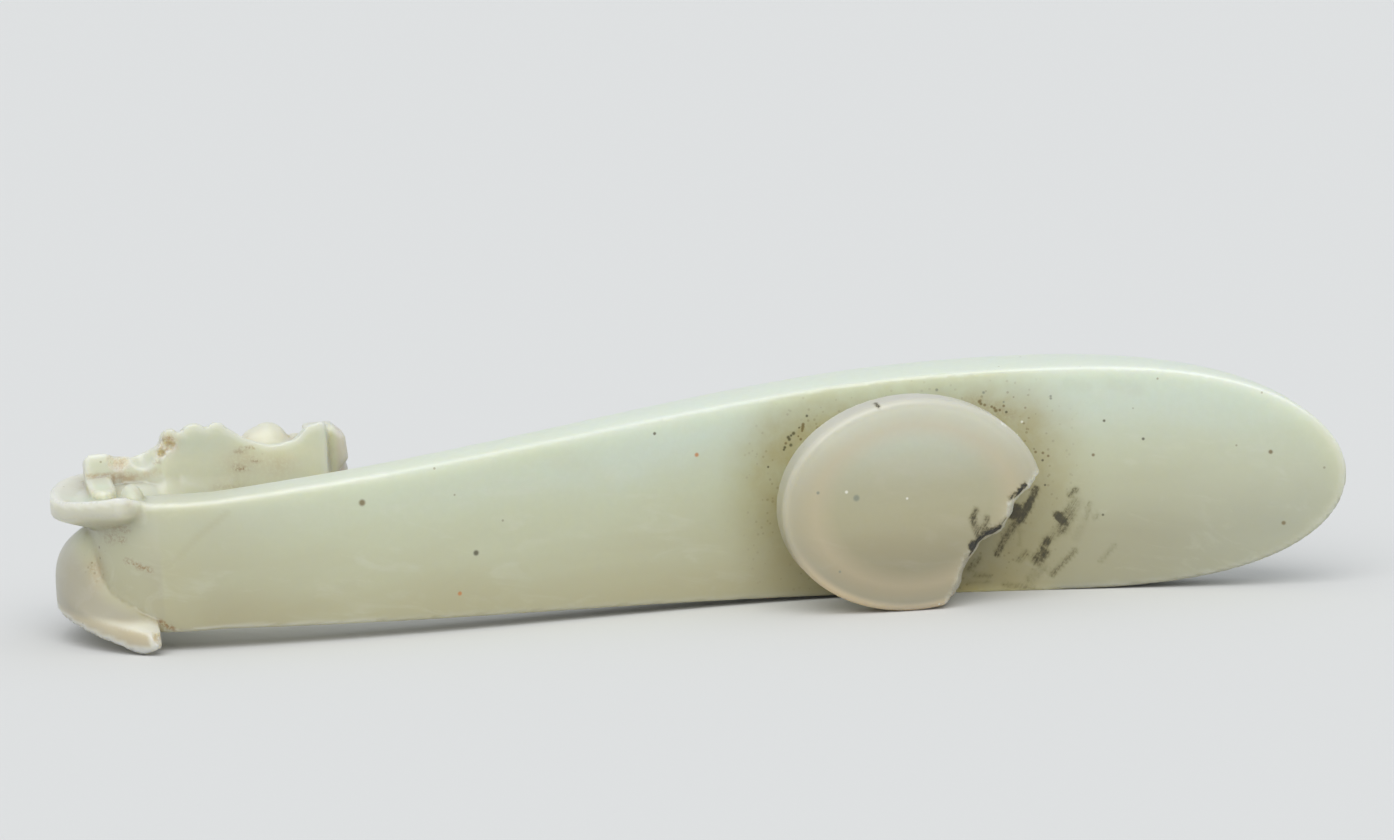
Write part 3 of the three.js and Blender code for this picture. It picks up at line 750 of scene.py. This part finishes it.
CREASE_REACH = 0.45
HOLLOW_REACH = 1.3
EDGE_REACH = 0.6
BREAK_WIDTH = 0.16
CHIP_WIDTH = 0.2
HEAD_DEPTH = 11.5
MANE_ALONG = -4.5
MANE_FOOT_RADIUS = 8.6
MANE_FOOT_WIDTH = 1.2
PLAIN_ALONG = 14
INK_DEPTH = 1.4
RING_SHARE = 0.24
RING_WIDTH = 0.17
LILAC_WIDTH = 0.2
HALO_OFFSET = 1.2
HALO_SHARE = 0.72
HALO_WIDTH = 6.5


def strokes(x, z, marks):
    """How strongly a few straight strokes cover each point, from 0 to 1."""
    cover = np.zeros(x.shape)
    for ax, az, bx, bz, width, strength in marks:
        ex, ez = bx - ax, bz - az
        share = unit(((x - ax) * ex + (z - az) * ez) / (ex * ex + ez * ez))
        away = np.hypot(x - ax - ex * share, z - az - ez * share)
        cover = np.maximum(cover, strength * unit(STROKE_SOFTNESS - away / width))
    return cover


def blobs(points, marks):
    """The sum of soft blobs, each at its strength in its middle and almost nought at its radii."""
    cover = 0
    for strength, middle, radii in marks:
        away = sum(((points[:, n] - middle[n]) / radii[n]) ** 2 for n in range(3))
        cover = cover + strength * np.exp(-BLOB_FALL * away)
    return cover


def covered(points, normals, steepness, reach):
    """One where stone lies over the skin within a reach, as in a crease, and nought in the open."""
    above = stone(*(points + reach * normals).T)
    return unit(1.5 * (1 - above / (reach * steepness)) - 0.3)


def sharp(points, normals, steepness):
    """One where the stone below the skin is thin, as on a sharp edge."""
    below = -stone(*(points - EDGE_REACH * normals).T)
    return unit(3.5 * (1 - below / (EDGE_REACH * steepness)) - 0.35)


def halo_round_button(x, z):
    """A yellow-brown tint on the stone round the button, weaker above it."""
    away = np.hypot(x - BUTTON_ALONG - HALO_OFFSET, z - BUTTON_ACROSS)
    away = away - np.hypot(BUTTON_HALF_LENGTH, BUTTON_HALF_HEIGHT) * HALO_SHARE
    return ease(unit(1 - away / HALO_WIDTH)) * blend(1, 0.35, unit((z - 5.5) / 3))


def paint(points, normals, steepness):
    """What covers the skin at each point, as named values from 0 to 1."""
    x, y, z = points.T
    facing_back = unit(-2 * normals[:, 1] - 0.6)
    near_button = np.abs(x - BUTTON_ALONG) < BUTTON_HALF_LENGTH + 1
    on_button = (y < button_face() + BUTTON_THICKNESS * 0.9) & near_button
    on_back = facing_back * ~on_button * (y < JAW_HEIGHT - 3)
    on_head = facing_back * (y > HEAD_DEPTH)
    crease = covered(points, normals, steepness, CREASE_REACH)
    # Sharp edges get a painted highlight, less so on the shaft and on the head.
    edge = sharp(points, normals, steepness) * (1 - crease)
    edge = edge * np.where(x > PLAIN_ALONG, 0.3, 1) * np.where(y > HEAD_DEPTH, 0.55, 1)
    broken = unit(1 - np.abs(chip(x, y, z)) / BREAK_WIDTH)
    broken = broken * on_button * blend(0.4, 1, unit(z / 3 + 1))
    chipped = unit(1 - damage(x, y, z) / CHIP_WIDTH)
    from_rim = 1 - button_reach(x, z)
    button_skin = unit((button_face() + BUTTON_THICKNESS + 0.3 - y) / 0.5) * near_button
    halo = halo_round_button(x, z) * on_back
    ink = strokes(x, z, INK_ON_BACK) * on_back
    ink = ink + strokes(x, z, INK_ON_BUTTON) * (y < button_face() + INK_DEPTH)
    brown = strokes(x, z, BROWN_ON_BACK) * on_back + strokes(x, z, BROWN_ON_HEAD) * on_head
    brown = brown + 0.7 * blobs(points, [DARK_LINE] + [(1.0, middle, DOT_RADII) for middle in DARK_DOTS])
    stain = blobs(points, STAINS) + 0.5 * chipped + strokes(x, z, ORANGE_ON_HEAD) * on_head
    radius, _ = bend(x, y)
    return {
        "crease": crease,
        "hollow": covered(points, normals, steepness, HOLLOW_REACH),
        "button": button_skin,
        # Painted highlight on sharp edges and along the ridge on the head
        "edge": np.maximum(edge, strokes(x, z, HIGHLIGHT_ON_HEAD) * on_head),
        "fracture": np.maximum(broken, 0.4 * chipped),
        "ring": unit(1 - np.abs(from_rim - RING_SHARE) / RING_WIDTH) * button_skin,
        "lilac": unit(1 - from_rim / LILAC_WIDTH) * button_skin,
        "halo": halo,
        "ink": unit(ink),
        "brown": unit(brown),
        "stain": unit(stain),
        "speckle": unit(blobs(points, SPECKLED) + 0.4 * halo),
        "scratch": strokes(x, z, SCRATCHES_ON_BACK) * on_back,
        "spotted_back": on_back,
        "spotted_button": facing_back * on_button,
        "mane": ease(unit((radius - MANE_FOOT_RADIUS) / MANE_FOOT_WIDTH)) * (x < MANE_ALONG),
    }


def add_object(name, data):
    item = bpy.data.objects.new(name, data)
    bpy.context.scene.collection.objects.link(item)
    return item


def make_stone():
    step = SKIN_STEP
    points, triangles, quads = skin(stone, SKIN_LOW, SKIN_HIGH, step)
    points, normals, steepness = settle(stone, points)
    mesh = bpy.data.meshes.new("hook")
    faces = [tuple(int(n) for n in face) for some in (triangles, quads) for face in some]
    mesh.from_pydata(to_row(points).tolist(), [], faces)
    mesh.update()
    mesh.polygons.foreach_set("use_smooth", [True] * len(mesh.polygons))
    mesh.normals_split_custom_set_from_vertices((normals @ turn.T).tolist())
    place = mesh.attributes.new("place", "FLOAT_VECTOR", "POINT")
    place.data.foreach_set("vector", points.astype(np.float32).ravel())
    for name, values in paint(points, normals, steepness).items():
        layer = mesh.attributes.new(name, "FLOAT", "POINT")
        layer.data.foreach_set("value", np.asarray(values, np.float32))
    print("stone:", len(points), "points,", len(triangles), "triangles,", len(quads), "quads")
    return add_object("jade_hook", mesh)


class Wiring:
    """Short names for the nodes of one material."""

    def __init__(self, tree):
        self.tree = tree

    def node(self, kind, **settings):
        node = self.tree.nodes.new("ShaderNode" + kind)
        for name, value in settings.items():
            setattr(node, name, value)
        return node

    def feed(self, socket, value):
        if isinstance(value, bpy.types.NodeSocket):
            self.tree.links.new(value, socket)
        else:
            socket.default_value = value

    def fill(self, node, values):
        for name, value in values.items():
            self.feed(node.inputs[name], value)

    def layer(self, name, vector=False):
        node = self.node("Attribute", attribute_name=name)
        return node.outputs["Vector" if vector else "Fac"]

    def math(self, operation, a, b=0.0, clamp=False):
        node = self.node("Math", operation=operation, use_clamp=clamp)
        self.feed(node.inputs[0], a)
        self.feed(node.inputs[1], b)
        return node.outputs[0]

    def times(self, *values):
        product = values[0]
        for value in values[1:]:
            product = self.math("MULTIPLY", product, value)
        return product

    def vector(self, operation, a, b=(0, 0, 0), output="Vector"):
        node = self.node("VectorMath", operation=operation)
        self.feed(node.inputs[0], a)
        self.feed(node.inputs[1], b)
        return node.outputs[output]

    def span(self, value, low, high, to_low=0.0, to_high=1.0):
        """Passes smoothly from one result to the other while a value goes from low to high."""
        node = self.node("MapRange", interpolation_type="SMOOTHSTEP")
        self.fill(node, {"Value": value, "From Min": low, "From Max": high})
        self.fill(node, {"To Min": to_low, "To Max": to_high})
        return node.outputs["Result"]

    def mix(self, share, a, b, way="MIX"):
        node = self.node("Mix", data_type="RGBA", blend_type=way)
        self.feed(node.inputs["Factor"], share)
        self.feed(node.inputs["A"], (*a, 1) if isinstance(a, tuple) else a)
        self.feed(node.inputs["B"], (*b, 1) if isinstance(b, tuple) else b)
        return node.outputs["Result"]

    def stretch(self, place, sizes, angle=0.0):
        """Turns a place back about its y axis, then divides it by a size along each way."""
        node = self.node("Mapping", vector_type="TEXTURE")
        self.fill(node, {"Vector": place, "Scale": sizes, "Rotation": (0, angle, 0)})
        return node.outputs["Vector"]

    def noise(self, place, scale, detail, rough, warp=0.0):
        node = self.node("TexNoise")
        self.fill(node, {"Vector": place, "Scale": scale, "Detail": detail})
        self.fill(node, {"Roughness": rough, "Distortion": warp})
        return node.outputs["Fac"]

    def dots(self, place, scale):
        """Distance to the nearest of a scatter of points, and a chance value of that point."""
        node = self.node("TexVoronoi", feature="F1")
        self.fill(node, {"Vector": place, "Scale": scale})
        return node.outputs["Distance"], node.outputs["Color"]


def new_material(name):
    material = bpy.data.materials.new(name)
    material.use_nodes = True
    return material, Wiring(material.node_tree), material.node_tree.nodes["Principled BSDF"]


# The stone's colours, partly its own zoning and partly painted light: paler bluish green towards the upper
# side, where light falls from above, and darker yellow towards the lower side as painted shade.
LIT_COOL_JADE = (0.68, 0.75, 0.66)
GREEN_JADE = (0.64, 0.67, 0.50)
SHADED_WARM_JADE = (0.54, 0.51, 0.33)
# Painted shade, darker still, on the lower side towards the broad end
SHADED_WARM_END_JADE = (0.45, 0.46, 0.34)
# Painted shade on the lower side of the broad end
LOW_END_SHADE_TINT = (0.93, 0.90, 0.88)
NECK_TINT = (0.88, 0.84, 0.80)
WISP_JADE = (0.74, 0.76, 0.66)
GRAIN_JADE = (0.50, 0.52, 0.36)
CLOUD_SIZES = (20.0, 8.0, 6.0)
CLOUD_SWAY = 7.0
WISP_SIZES = (7.0, 2.2, 2.0)
WISP_TURN = 0.2
HEAD_JADE = (0.74, 0.71, 0.54)
HORN_JADE = (0.62, 0.64, 0.57)
TOP_JADE = (0.66, 0.60, 0.51)
# Painted shade on the cheek's top edge, whiter than the head
CHEEK_TOP_SHADED_JADE = (0.56, 0.60, 0.54)
LIP_TINT = (0.92, 0.85, 0.93)
# Painted shade below and painted light above on the button, round a yellower middle
BUTTON_LOW_SHADE_TINT = (0.665, 0.635, 0.645)
BUTTON_MIDDLE_TINT = (0.80, 0.73, 0.66)
BUTTON_HIGH_LIT_TINT = (0.95, 0.93, 0.94)
# The button rim's pinkish colour, darker below as painted shade and paler above as painted light
LOW_SHADED_LILAC_JADE = (0.46, 0.43, 0.34)
HIGH_LIT_LILAC_JADE = (0.63, 0.61, 0.55)
# Painted shade on the upper rim's highlight, and a painted warm glow on the lower rim
RIM_HIGH_SHADE_TINT = (0.85, 0.85, 0.83)
RIM_LOW_GLOW_JADE = (0.74, 0.60, 0.40)
PEACH_JADE = (0.64, 0.55, 0.39)
RIB_STRIP_JADE = (0.58, 0.51, 0.40)
# The lower rib's inner face in painted shade, the upper rib in painted light
RIB_LOW_SHADED_JADE = (0.38, 0.35, 0.295)
RIB_HIGH_LIT_JADE = (0.66, 0.65, 0.58)
# Painted highlight on sharp edges
EDGE_HIGHLIGHT_JADE = (0.80, 0.80, 0.72)
YELLOW_BROWN_TINT = (0.48, 0.43, 0.23)
BROWN_STAIN = (0.44, 0.27, 0.11)
BROWN_MARK = (0.32, 0.17, 0.06)
SPECKLE_BROWN = (0.20, 0.13, 0.05)
PIT_BROWN = (0.24, 0.20, 0.10)
SCRATCH_BROWN = (0.42, 0.38, 0.2)
FRACTURE_WHITE = (0.85, 0.84, 0.76)
SMEAR_SIZES = (1.3, 0.5, 0.14)
SMEAR_TURN = math.radians(-57)
INK_FILM_TINT = (0.72, 0.69, 0.60)
INK_TINT = (0.36, 0.34, 0.25)
INK_BLACK = (0.018, 0.017, 0.014)

IOR = 1.6
SCATTER_RADII = (1.0, 0.9, 0.62)
SCATTER_SCALE = 0.003
BUMP_STRENGTH = 0.6
BUMP_DISTANCE = 0.001


def stone_colour(wire, place, along, depth, across):
    """The jade itself: its zones, clouds and inclusions, with painted light making it paler and bluer
    above and painted shade making it darker and yellower below.
    """
    cloud = wire.noise(wire.stretch(place, CLOUD_SIZES), 1.0, detail=4.0, rough=0.55, warp=0.6)
    height = wire.math("ADD", across, wire.times(wire.math("SUBTRACT", cloud, 0.5), CLOUD_SWAY))
    # Painted shade: darker yellow towards the lower side, darker still towards the broad end; painted
    # light: paler bluish green towards the upper side.
    warm = wire.mix(wire.span(along, 50.0, 95.0), SHADED_WARM_JADE, SHADED_WARM_END_JADE)
    colour = wire.mix(wire.span(height, -7.5, 2.5), warm, GREEN_JADE)
    colour = wire.mix(wire.span(height, 0.5, 8.5), colour, LIT_COOL_JADE)
    # Painted light: paler and bluer towards the tip of the broad end.
    colour = wire.mix(wire.times(wire.span(along, 70.0, 95.0), 0.35), colour, LIT_COOL_JADE)
    on_neck = wire.times(wire.span(along, 14.0, -4.0), wire.span(depth, 11.0, 6.0))
    colour = wire.mix(on_neck, colour, NECK_TINT, "MULTIPLY")
    colour = head_colour(wire, colour, along, depth, across)
    # Painted shade: darker on the lower side of the broad end.
    low_end = wire.times(wire.span(along, 60.0, 78.0), wire.span(across, 6.0, -2.0))
    colour = wire.mix(low_end, colour, LOW_END_SHADE_TINT, "MULTIPLY")
    wisps = wire.noise(wire.stretch(place, WISP_SIZES, WISP_TURN), 1.0, detail=5.0, rough=0.6, warp=1.2)
    colour = wire.mix(wire.times(wire.span(wisps, 0.52, 0.72), 0.2), colour, WISP_JADE)
    grain = wire.noise(place, 1.7, detail=3.0, rough=0.65)
    return wire.mix(wire.times(wire.span(grain, 0.62, 0.42), 0.05), colour, GRAIN_JADE)


def head_colour(wire, colour, along, depth, across):
    """The head is yellower, and its horns, forehead and cheeks are duller; the cheek's top edge is whiter
    and darkened with painted shade that tones down its highlight.
    """
    deep = wire.span(depth, 10.0, 12.5)
    on_head = wire.times(wire.span(along, 15.0, 12.0), deep)
    colour = wire.mix(wire.times(on_head, 0.6), colour, HEAD_JADE)
    on_horn = wire.times(on_head, wire.span(along, -2.0, -4.5), 0.7)
    colour = wire.mix(on_horn, colour, HORN_JADE)
    on_top = wire.times(on_head, wire.span(depth, 16.4, 17.4), 0.55)
    colour = wire.mix(on_top, colour, TOP_JADE)
    # Painted shade: the cheek's top edge is darker and whiter, toning down its highlight.
    on_cheek_top = wire.times(on_head, wire.span(across, 5.5, 8.0), 0.6)
    colour = wire.mix(on_cheek_top, colour, CHEEK_TOP_SHADED_JADE)
    on_lip = wire.times(wire.span(along, 11.7, 12.3), deep, wire.span(along, 17.0, 14.0))
    return wire.mix(on_lip, colour, LIP_TINT, "MULTIPLY")


def button_rim(wire, place):
    """One on the rim of the button, nought on its face."""
    from_middle = wire.vector("SUBTRACT", place, (BUTTON_ALONG, 0, BUTTON_ACROSS))
    shares = wire.vector("MULTIPLY", from_middle, (1 / BUTTON_HALF_LENGTH, 0, 1 / BUTTON_HALF_HEIGHT))
    reach = wire.vector("LENGTH", shares, output="Value")
    return wire.times(wire.span(reach, 0.90, 0.98), wire.layer("button"))


def button_colour(wire, place, colour, across):
    """The button is yellower in its middle, with a pinker rim and a peach ring on its face. Painted light
    makes the button and its rim paler above and painted shade makes them darker below; painted shade tones
    down the highlight on the upper rim, and the lower rim has a painted warm glow.
    """
    # Painted shade darkens the button's lower side and painted light leaves its upper side paler.
    tint = wire.mix(wire.span(across, -7.0, 0.0), BUTTON_LOW_SHADE_TINT, BUTTON_MIDDLE_TINT)
    tint = wire.mix(wire.span(across, 1.0, 7.5), tint, BUTTON_HIGH_LIT_TINT)
    colour = wire.mix(wire.layer("button"), colour, tint, "MULTIPLY")
    # The rim's pinkish colour, darker below as painted shade and paler above as painted light.
    lilac = wire.mix(wire.span(across, -2.0, 8.0), LOW_SHADED_LILAC_JADE, HIGH_LIT_LILAC_JADE)
    colour = wire.mix(wire.times(wire.layer("lilac"), 0.8), colour, lilac)
    # Painted shade tones down the upper rim, where the light is strongest, and the lower rim has a painted
    # warm glow.
    rim = button_rim(wire, place)
    colour = wire.mix(wire.times(rim, wire.span(across, -1.0, 5.0)), colour, RIM_HIGH_SHADE_TINT, "MULTIPLY")
    colour = wire.mix(wire.times(rim, wire.span(across, -1.5, -7.5)), colour, RIM_LOW_GLOW_JADE)
    return wire.mix(wire.times(wire.layer("ring"), 0.5), colour, PEACH_JADE)


def mane_colour(wire, colour, across):
    """The ribs of mane are pinker, the lower one with a paler strip along its outside. The lower rib's
    inner face is darkened with painted shade, and the upper rib is lighter with painted light.
    """
    # Painted shade on the lower rib's inner face and painted light on the upper rib.
    ribs = wire.mix(wire.span(across, -4.5, -3.8), RIB_STRIP_JADE, RIB_LOW_SHADED_JADE)
    ribs = wire.mix(wire.span(across, -1.0, 3.0), ribs, RIB_HIGH_LIT_JADE)
    return wire.mix(wire.times(wire.layer("mane"), 0.65), colour, ribs)


def stains(wire, place, colour):
    """A yellow-brown tint round the button, yellow and brown stains, in the creases most of all, and tiny
    dark pits.
    """
    cloud = wire.noise(place, 0.55, detail=4.0, rough=0.6, warp=0.4)
    fine = wire.noise(place, 3.2, detail=4.0, rough=0.7)
    # Yellow-brown round the button, weaker above it.
    halo = wire.times(wire.layer("halo"), wire.span(cloud, 0.2, 0.75, 0.55, 0.95))
    colour = wire.mix(halo, colour, YELLOW_BROWN_TINT)
    hollow = wire.times(wire.layer("hollow"), wire.span(cloud, 0.35, 0.65), 0.35)
    colour = wire.mix(hollow, colour, YELLOW_BROWN_TINT)
    crease = wire.times(wire.layer("crease"), wire.span(fine, 0.38, 0.62), 0.35)
    stain = wire.times(wire.layer("stain"), wire.span(fine, 0.25, 0.6))
    stain = wire.math("ADD", stain, crease, clamp=True)
    colour = wire.mix(wire.times(stain, 0.7), colour, BROWN_STAIN)
    uneven = wire.span(wire.noise(place, 4.0, detail=3.0, rough=0.7), 0.40, 0.60)
    colour = wire.mix(wire.times(wire.layer("brown"), uneven, 0.85), colour, BROWN_MARK)
    away, chance = wire.dots(place, 2.3)
    dot = wire.times(wire.span(away, 0.30, 0.20), wire.span(chance, 0.62, 0.66), wire.layer("speckle"))
    colour = wire.mix(wire.times(dot, 0.8), colour, SPECKLE_BROWN)
    away, chance = wire.dots(place, 0.42)
    pit = wire.times(wire.span(away, 0.055, 0.03), wire.span(chance, 0.5, 0.55))
    return wire.mix(wire.times(pit, 0.55), colour, PIT_BROWN)


def spots(wire, place, colour):
    """The single spots that show on the back."""
    flat = wire.vector("MULTIPLY", place, (1, 0, 1))
    for layer, some in (("spotted_back", SPOTS), ("spotted_button", SPOTS_ON_BUTTON)):
        facing = wire.layer(layer)
        for x, z, radius, tint in some:
            away = wire.vector("DISTANCE", flat, (x, 0, z), "Value")
            cover = wire.times(wire.span(away, radius * 1.25, radius * 0.4), facing, 0.85)
            colour = wire.mix(cover, colour, tint)
    return colour


def ink_cover(wire, place):
    """Black smears, streaked along the way that something rubbed past."""
    streaks = wire.noise(wire.stretch(place, SMEAR_SIZES, SMEAR_TURN), 1.0, detail=5.0, rough=0.7)
    blotch = wire.noise(place, 3.6, detail=4.0, rough=0.75)
    broken = wire.math("ADD", wire.times(streaks, 0.55), wire.times(blotch, 0.45))
    ink = wire.layer("ink")
    threshold = wire.math("SUBTRACT", 0.66, wire.times(ink, 0.34))
    cover = wire.span(wire.math("SUBTRACT", broken, threshold), -0.18, 0.2)
    return wire.times(cover, wire.span(ink, 0.0, 0.7))


def jade_colour(wire, place, ink):
    split = wire.node("SeparateXYZ")
    wire.feed(split.inputs[0], place)
    along, depth, across = (split.outputs[name] for name in "XYZ")
    colour = stone_colour(wire, place, along, depth, across)
    colour = button_colour(wire, place, colour, across)
    colour = mane_colour(wire, colour, across)
    # Painted highlight on sharp edges, stronger on the mane.
    edge = wire.times(wire.layer("edge"), wire.span(wire.layer("mane"), 0.0, 1.0, 0.4, 0.65))
    colour = wire.mix(edge, colour, EDGE_HIGHLIGHT_JADE)
    colour = stains(wire, place, colour)
    colour = wire.mix(wire.layer("scratch"), colour, SCRATCH_BROWN)
    colour = spots(wire, place, colour)
    sugar = wire.span(wire.noise(place, 5.5, detail=3.0, rough=0.7), 0.38, 0.55, 0.45, 1.0)
    colour = wire.mix(wire.times(wire.layer("fracture"), sugar), colour, FRACTURE_WHITE)
    # A thin film all round each smear, and black in its middle, less so on the back of the shaft.
    film = wire.span(wire.layer("ink"), 0.0, 0.6, 0.0, 0.75)
    colour = wire.mix(film, colour, INK_FILM_TINT, "MULTIPLY")
    colour = wire.mix(wire.span(ink, 0.0, 0.7), colour, INK_TINT, "MULTIPLY")
    black = wire.times(wire.span(ink, 0.45, 1.0), wire.span(wire.layer("button"), 0.0, 1.0, 0.62, 1.0))
    return wire.mix(black, colour, INK_BLACK)


def jade_gloss(wire, place, ink):
    """A waxy polish, duller on the breaks and under ink."""
    gloss = wire.span(wire.noise(place, 0.13, detail=1.0, rough=0.4), 0.3, 0.7, 0.29, 0.34)
    gloss = wire.math("ADD", gloss, wire.times(wire.layer("fracture"), 0.25))
    return wire.math("ADD", gloss, wire.times(ink, 0.15), clamp=True)


def jade_relief(wire, place):
    """Waves of hand polishing all over, and a sugary grain on the breaks."""
    waves = wire.times(wire.noise(place, 0.35, detail=3.0, rough=0.5), 0.05)
    grain = wire.times(wire.noise(place, 4.5, detail=4.0, rough=0.7), 0.12, wire.layer("fracture"))
    bump = wire.node("Bump")
    height = wire.math("ADD", waves, grain)
    wire.fill(bump, {"Strength": BUMP_STRENGTH, "Distance": BUMP_DISTANCE, "Height": height})
    return bump.outputs["Normal"]


def jade_material():
    material, wire, shader = new_material("jade")
    place = wire.layer("place", vector=True)
    ink = ink_cover(wire, place)
    wire.fill(shader, {
        "Base Color": jade_colour(wire, place, ink),
        "Roughness": jade_gloss(wire, place, ink),
        "Normal": jade_relief(wire, place),
        "Subsurface Weight": wire.math("SUBTRACT", 1.0, wire.times(ink, 0.85), clamp=True),
        "Subsurface Radius": SCATTER_RADII,
        "Subsurface Scale": SCATTER_SCALE,
        "IOR": IOR,
    })
    return material


def seen_directly(wire):
    """One for rays from the camera, also through gloss or glass, and nought for light that bounces."""
    path = wire.node("LightPath")
    first = wire.math("MAXIMUM", path.outputs["Is Camera Ray"], path.outputs["Is Glossy Ray"])
    return wire.math("MAXIMUM", first, path.outputs["Is Transmission Ray"])


# The floor is pale to the eye, and its bounce is that of a mid grey surface. The sky behind looks
# like the floor, and its light is a little bluish.
FLOOR_BOUNCE = (0.45, 0.45, 0.45)
FLOOR_SEEN = (0.74, 0.745, 0.75)
FLOOR_HALF_SIZE = 3.0
FLOOR_ROUGHNESS = 0.9
FLOOR_SPECULAR = 0.2
BACKDROP_SEEN = (0.72, 0.735, 0.75)
SKY_LIGHT = (0.59, 0.61, 0.62)


def make_floor():
    mesh = bpy.data.meshes.new("floor")
    signs = ((-1, -1), (1, -1), (1, 1), (-1, 1))
    mesh.from_pydata([(a * FLOOR_HALF_SIZE, b * FLOOR_HALF_SIZE, 0) for a, b in signs], [], [(0, 1, 2, 3)])
    material, wire, shader = new_material("floor")
    colour = wire.mix(seen_directly(wire), FLOOR_BOUNCE, FLOOR_SEEN)
    wire.fill(shader, {
        "Base Color": colour, "Roughness": FLOOR_ROUGHNESS, "Specular IOR Level": FLOOR_SPECULAR,
    })
    mesh.materials.append(material)
    return add_object("floor", mesh)


def make_world():
    world = bpy.data.worlds.new("studio")
    world.use_nodes = True
    wire = Wiring(world.node_tree)
    light = wire.mix(seen_directly(wire), SKY_LIGHT, BACKDROP_SEEN)
    wire.feed(world.node_tree.nodes["Background"].inputs["Color"], light)
    bpy.context.scene.world = world


# One far soft lamp: where it shines from, its power, and how wide it is in the sky
LAMP_TOWARD = (-0.2, -0.7, 0.7)
LAMP_POWER = 1.8
LAMP_WIDTH = math.radians(60.0)
LAMP_COLOUR = (1.0, 0.99, 0.97)


def make_lamp():
    data = bpy.data.lights.new("window", "SUN")
    data.energy = LAMP_POWER
    data.angle = LAMP_WIDTH
    data.color = LAMP_COLOUR
    lamp = add_object("window", data)
    lamp.rotation_euler = Vector(LAMP_TOWARD).to_track_quat("Z", "Y").to_euler()


# Camera, as the photo sees the hook: turned and raised from the square view of the back.
VIEW_POINT = (46.0, 5.0, 0.0)
VIEW_YAW = math.radians(12.0)
VIEW_RISE = math.radians(13.0)
VIEW_ROLL = math.radians(2.4)
VIEW_DISTANCE = 450.0
PHOTO_WIDTH = 1394.0
PHOTO_HEIGHT = 840.0
FOCAL_PIXELS = 5490.0
VIEW_PIXEL = (770.0, 502.0)
SENSOR = 36.0
NEAREST_SEEN = 0.01


def make_camera():
    ahead = np.array([
        math.sin(VIEW_YAW) * math.cos(VIEW_RISE),
        math.cos(VIEW_YAW) * math.cos(VIEW_RISE),
        -math.sin(VIEW_RISE),
    ])
    level = np.array([math.cos(VIEW_YAW), -math.sin(VIEW_YAW), 0.0])
    upright = np.cross(level, ahead)
    right = level * math.cos(VIEW_ROLL) - upright * math.sin(VIEW_ROLL)
    up = upright * math.cos(VIEW_ROLL) + level * math.sin(VIEW_ROLL)
    place = np.array(VIEW_POINT) - ahead * VIEW_DISTANCE
    # Aim at the middle of the picture rather than at the pixel that shows the view point.
    aim = (
        ahead
        + right * (PHOTO_WIDTH / 2 - VIEW_PIXEL[0]) / FOCAL_PIXELS
        + up * (VIEW_PIXEL[1] - PHOTO_HEIGHT / 2) / FOCAL_PIXELS
    )
    aim /= np.linalg.norm(aim)
    right = np.cross(aim, up)
    right /= np.linalg.norm(right)
    up = np.cross(right, aim)
    data = bpy.data.cameras.new("camera")
    data.lens = FOCAL_PIXELS / PHOTO_WIDTH * SENSOR
    data.sensor_width = SENSOR
    data.clip_start = NEAREST_SEEN
    camera = add_object("camera", data)
    matrix = Matrix.Identity(4)
    for n, column in enumerate((turn @ right, turn @ up, -(turn @ aim))):
        for m in range(3):
            matrix[m][n] = column[m]
    matrix.translation = Vector(to_row(place))
    camera.matrix_world = matrix
    bpy.context.scene.camera = camera


hook = make_stone()
hook.data.materials.append(jade_material())
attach(hook, "root")
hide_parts(*frame["nodes"])
make_floor()
make_world()
make_lamp()
make_camera()
bpy.context.scene.view_settings.view_transform = "Standard"
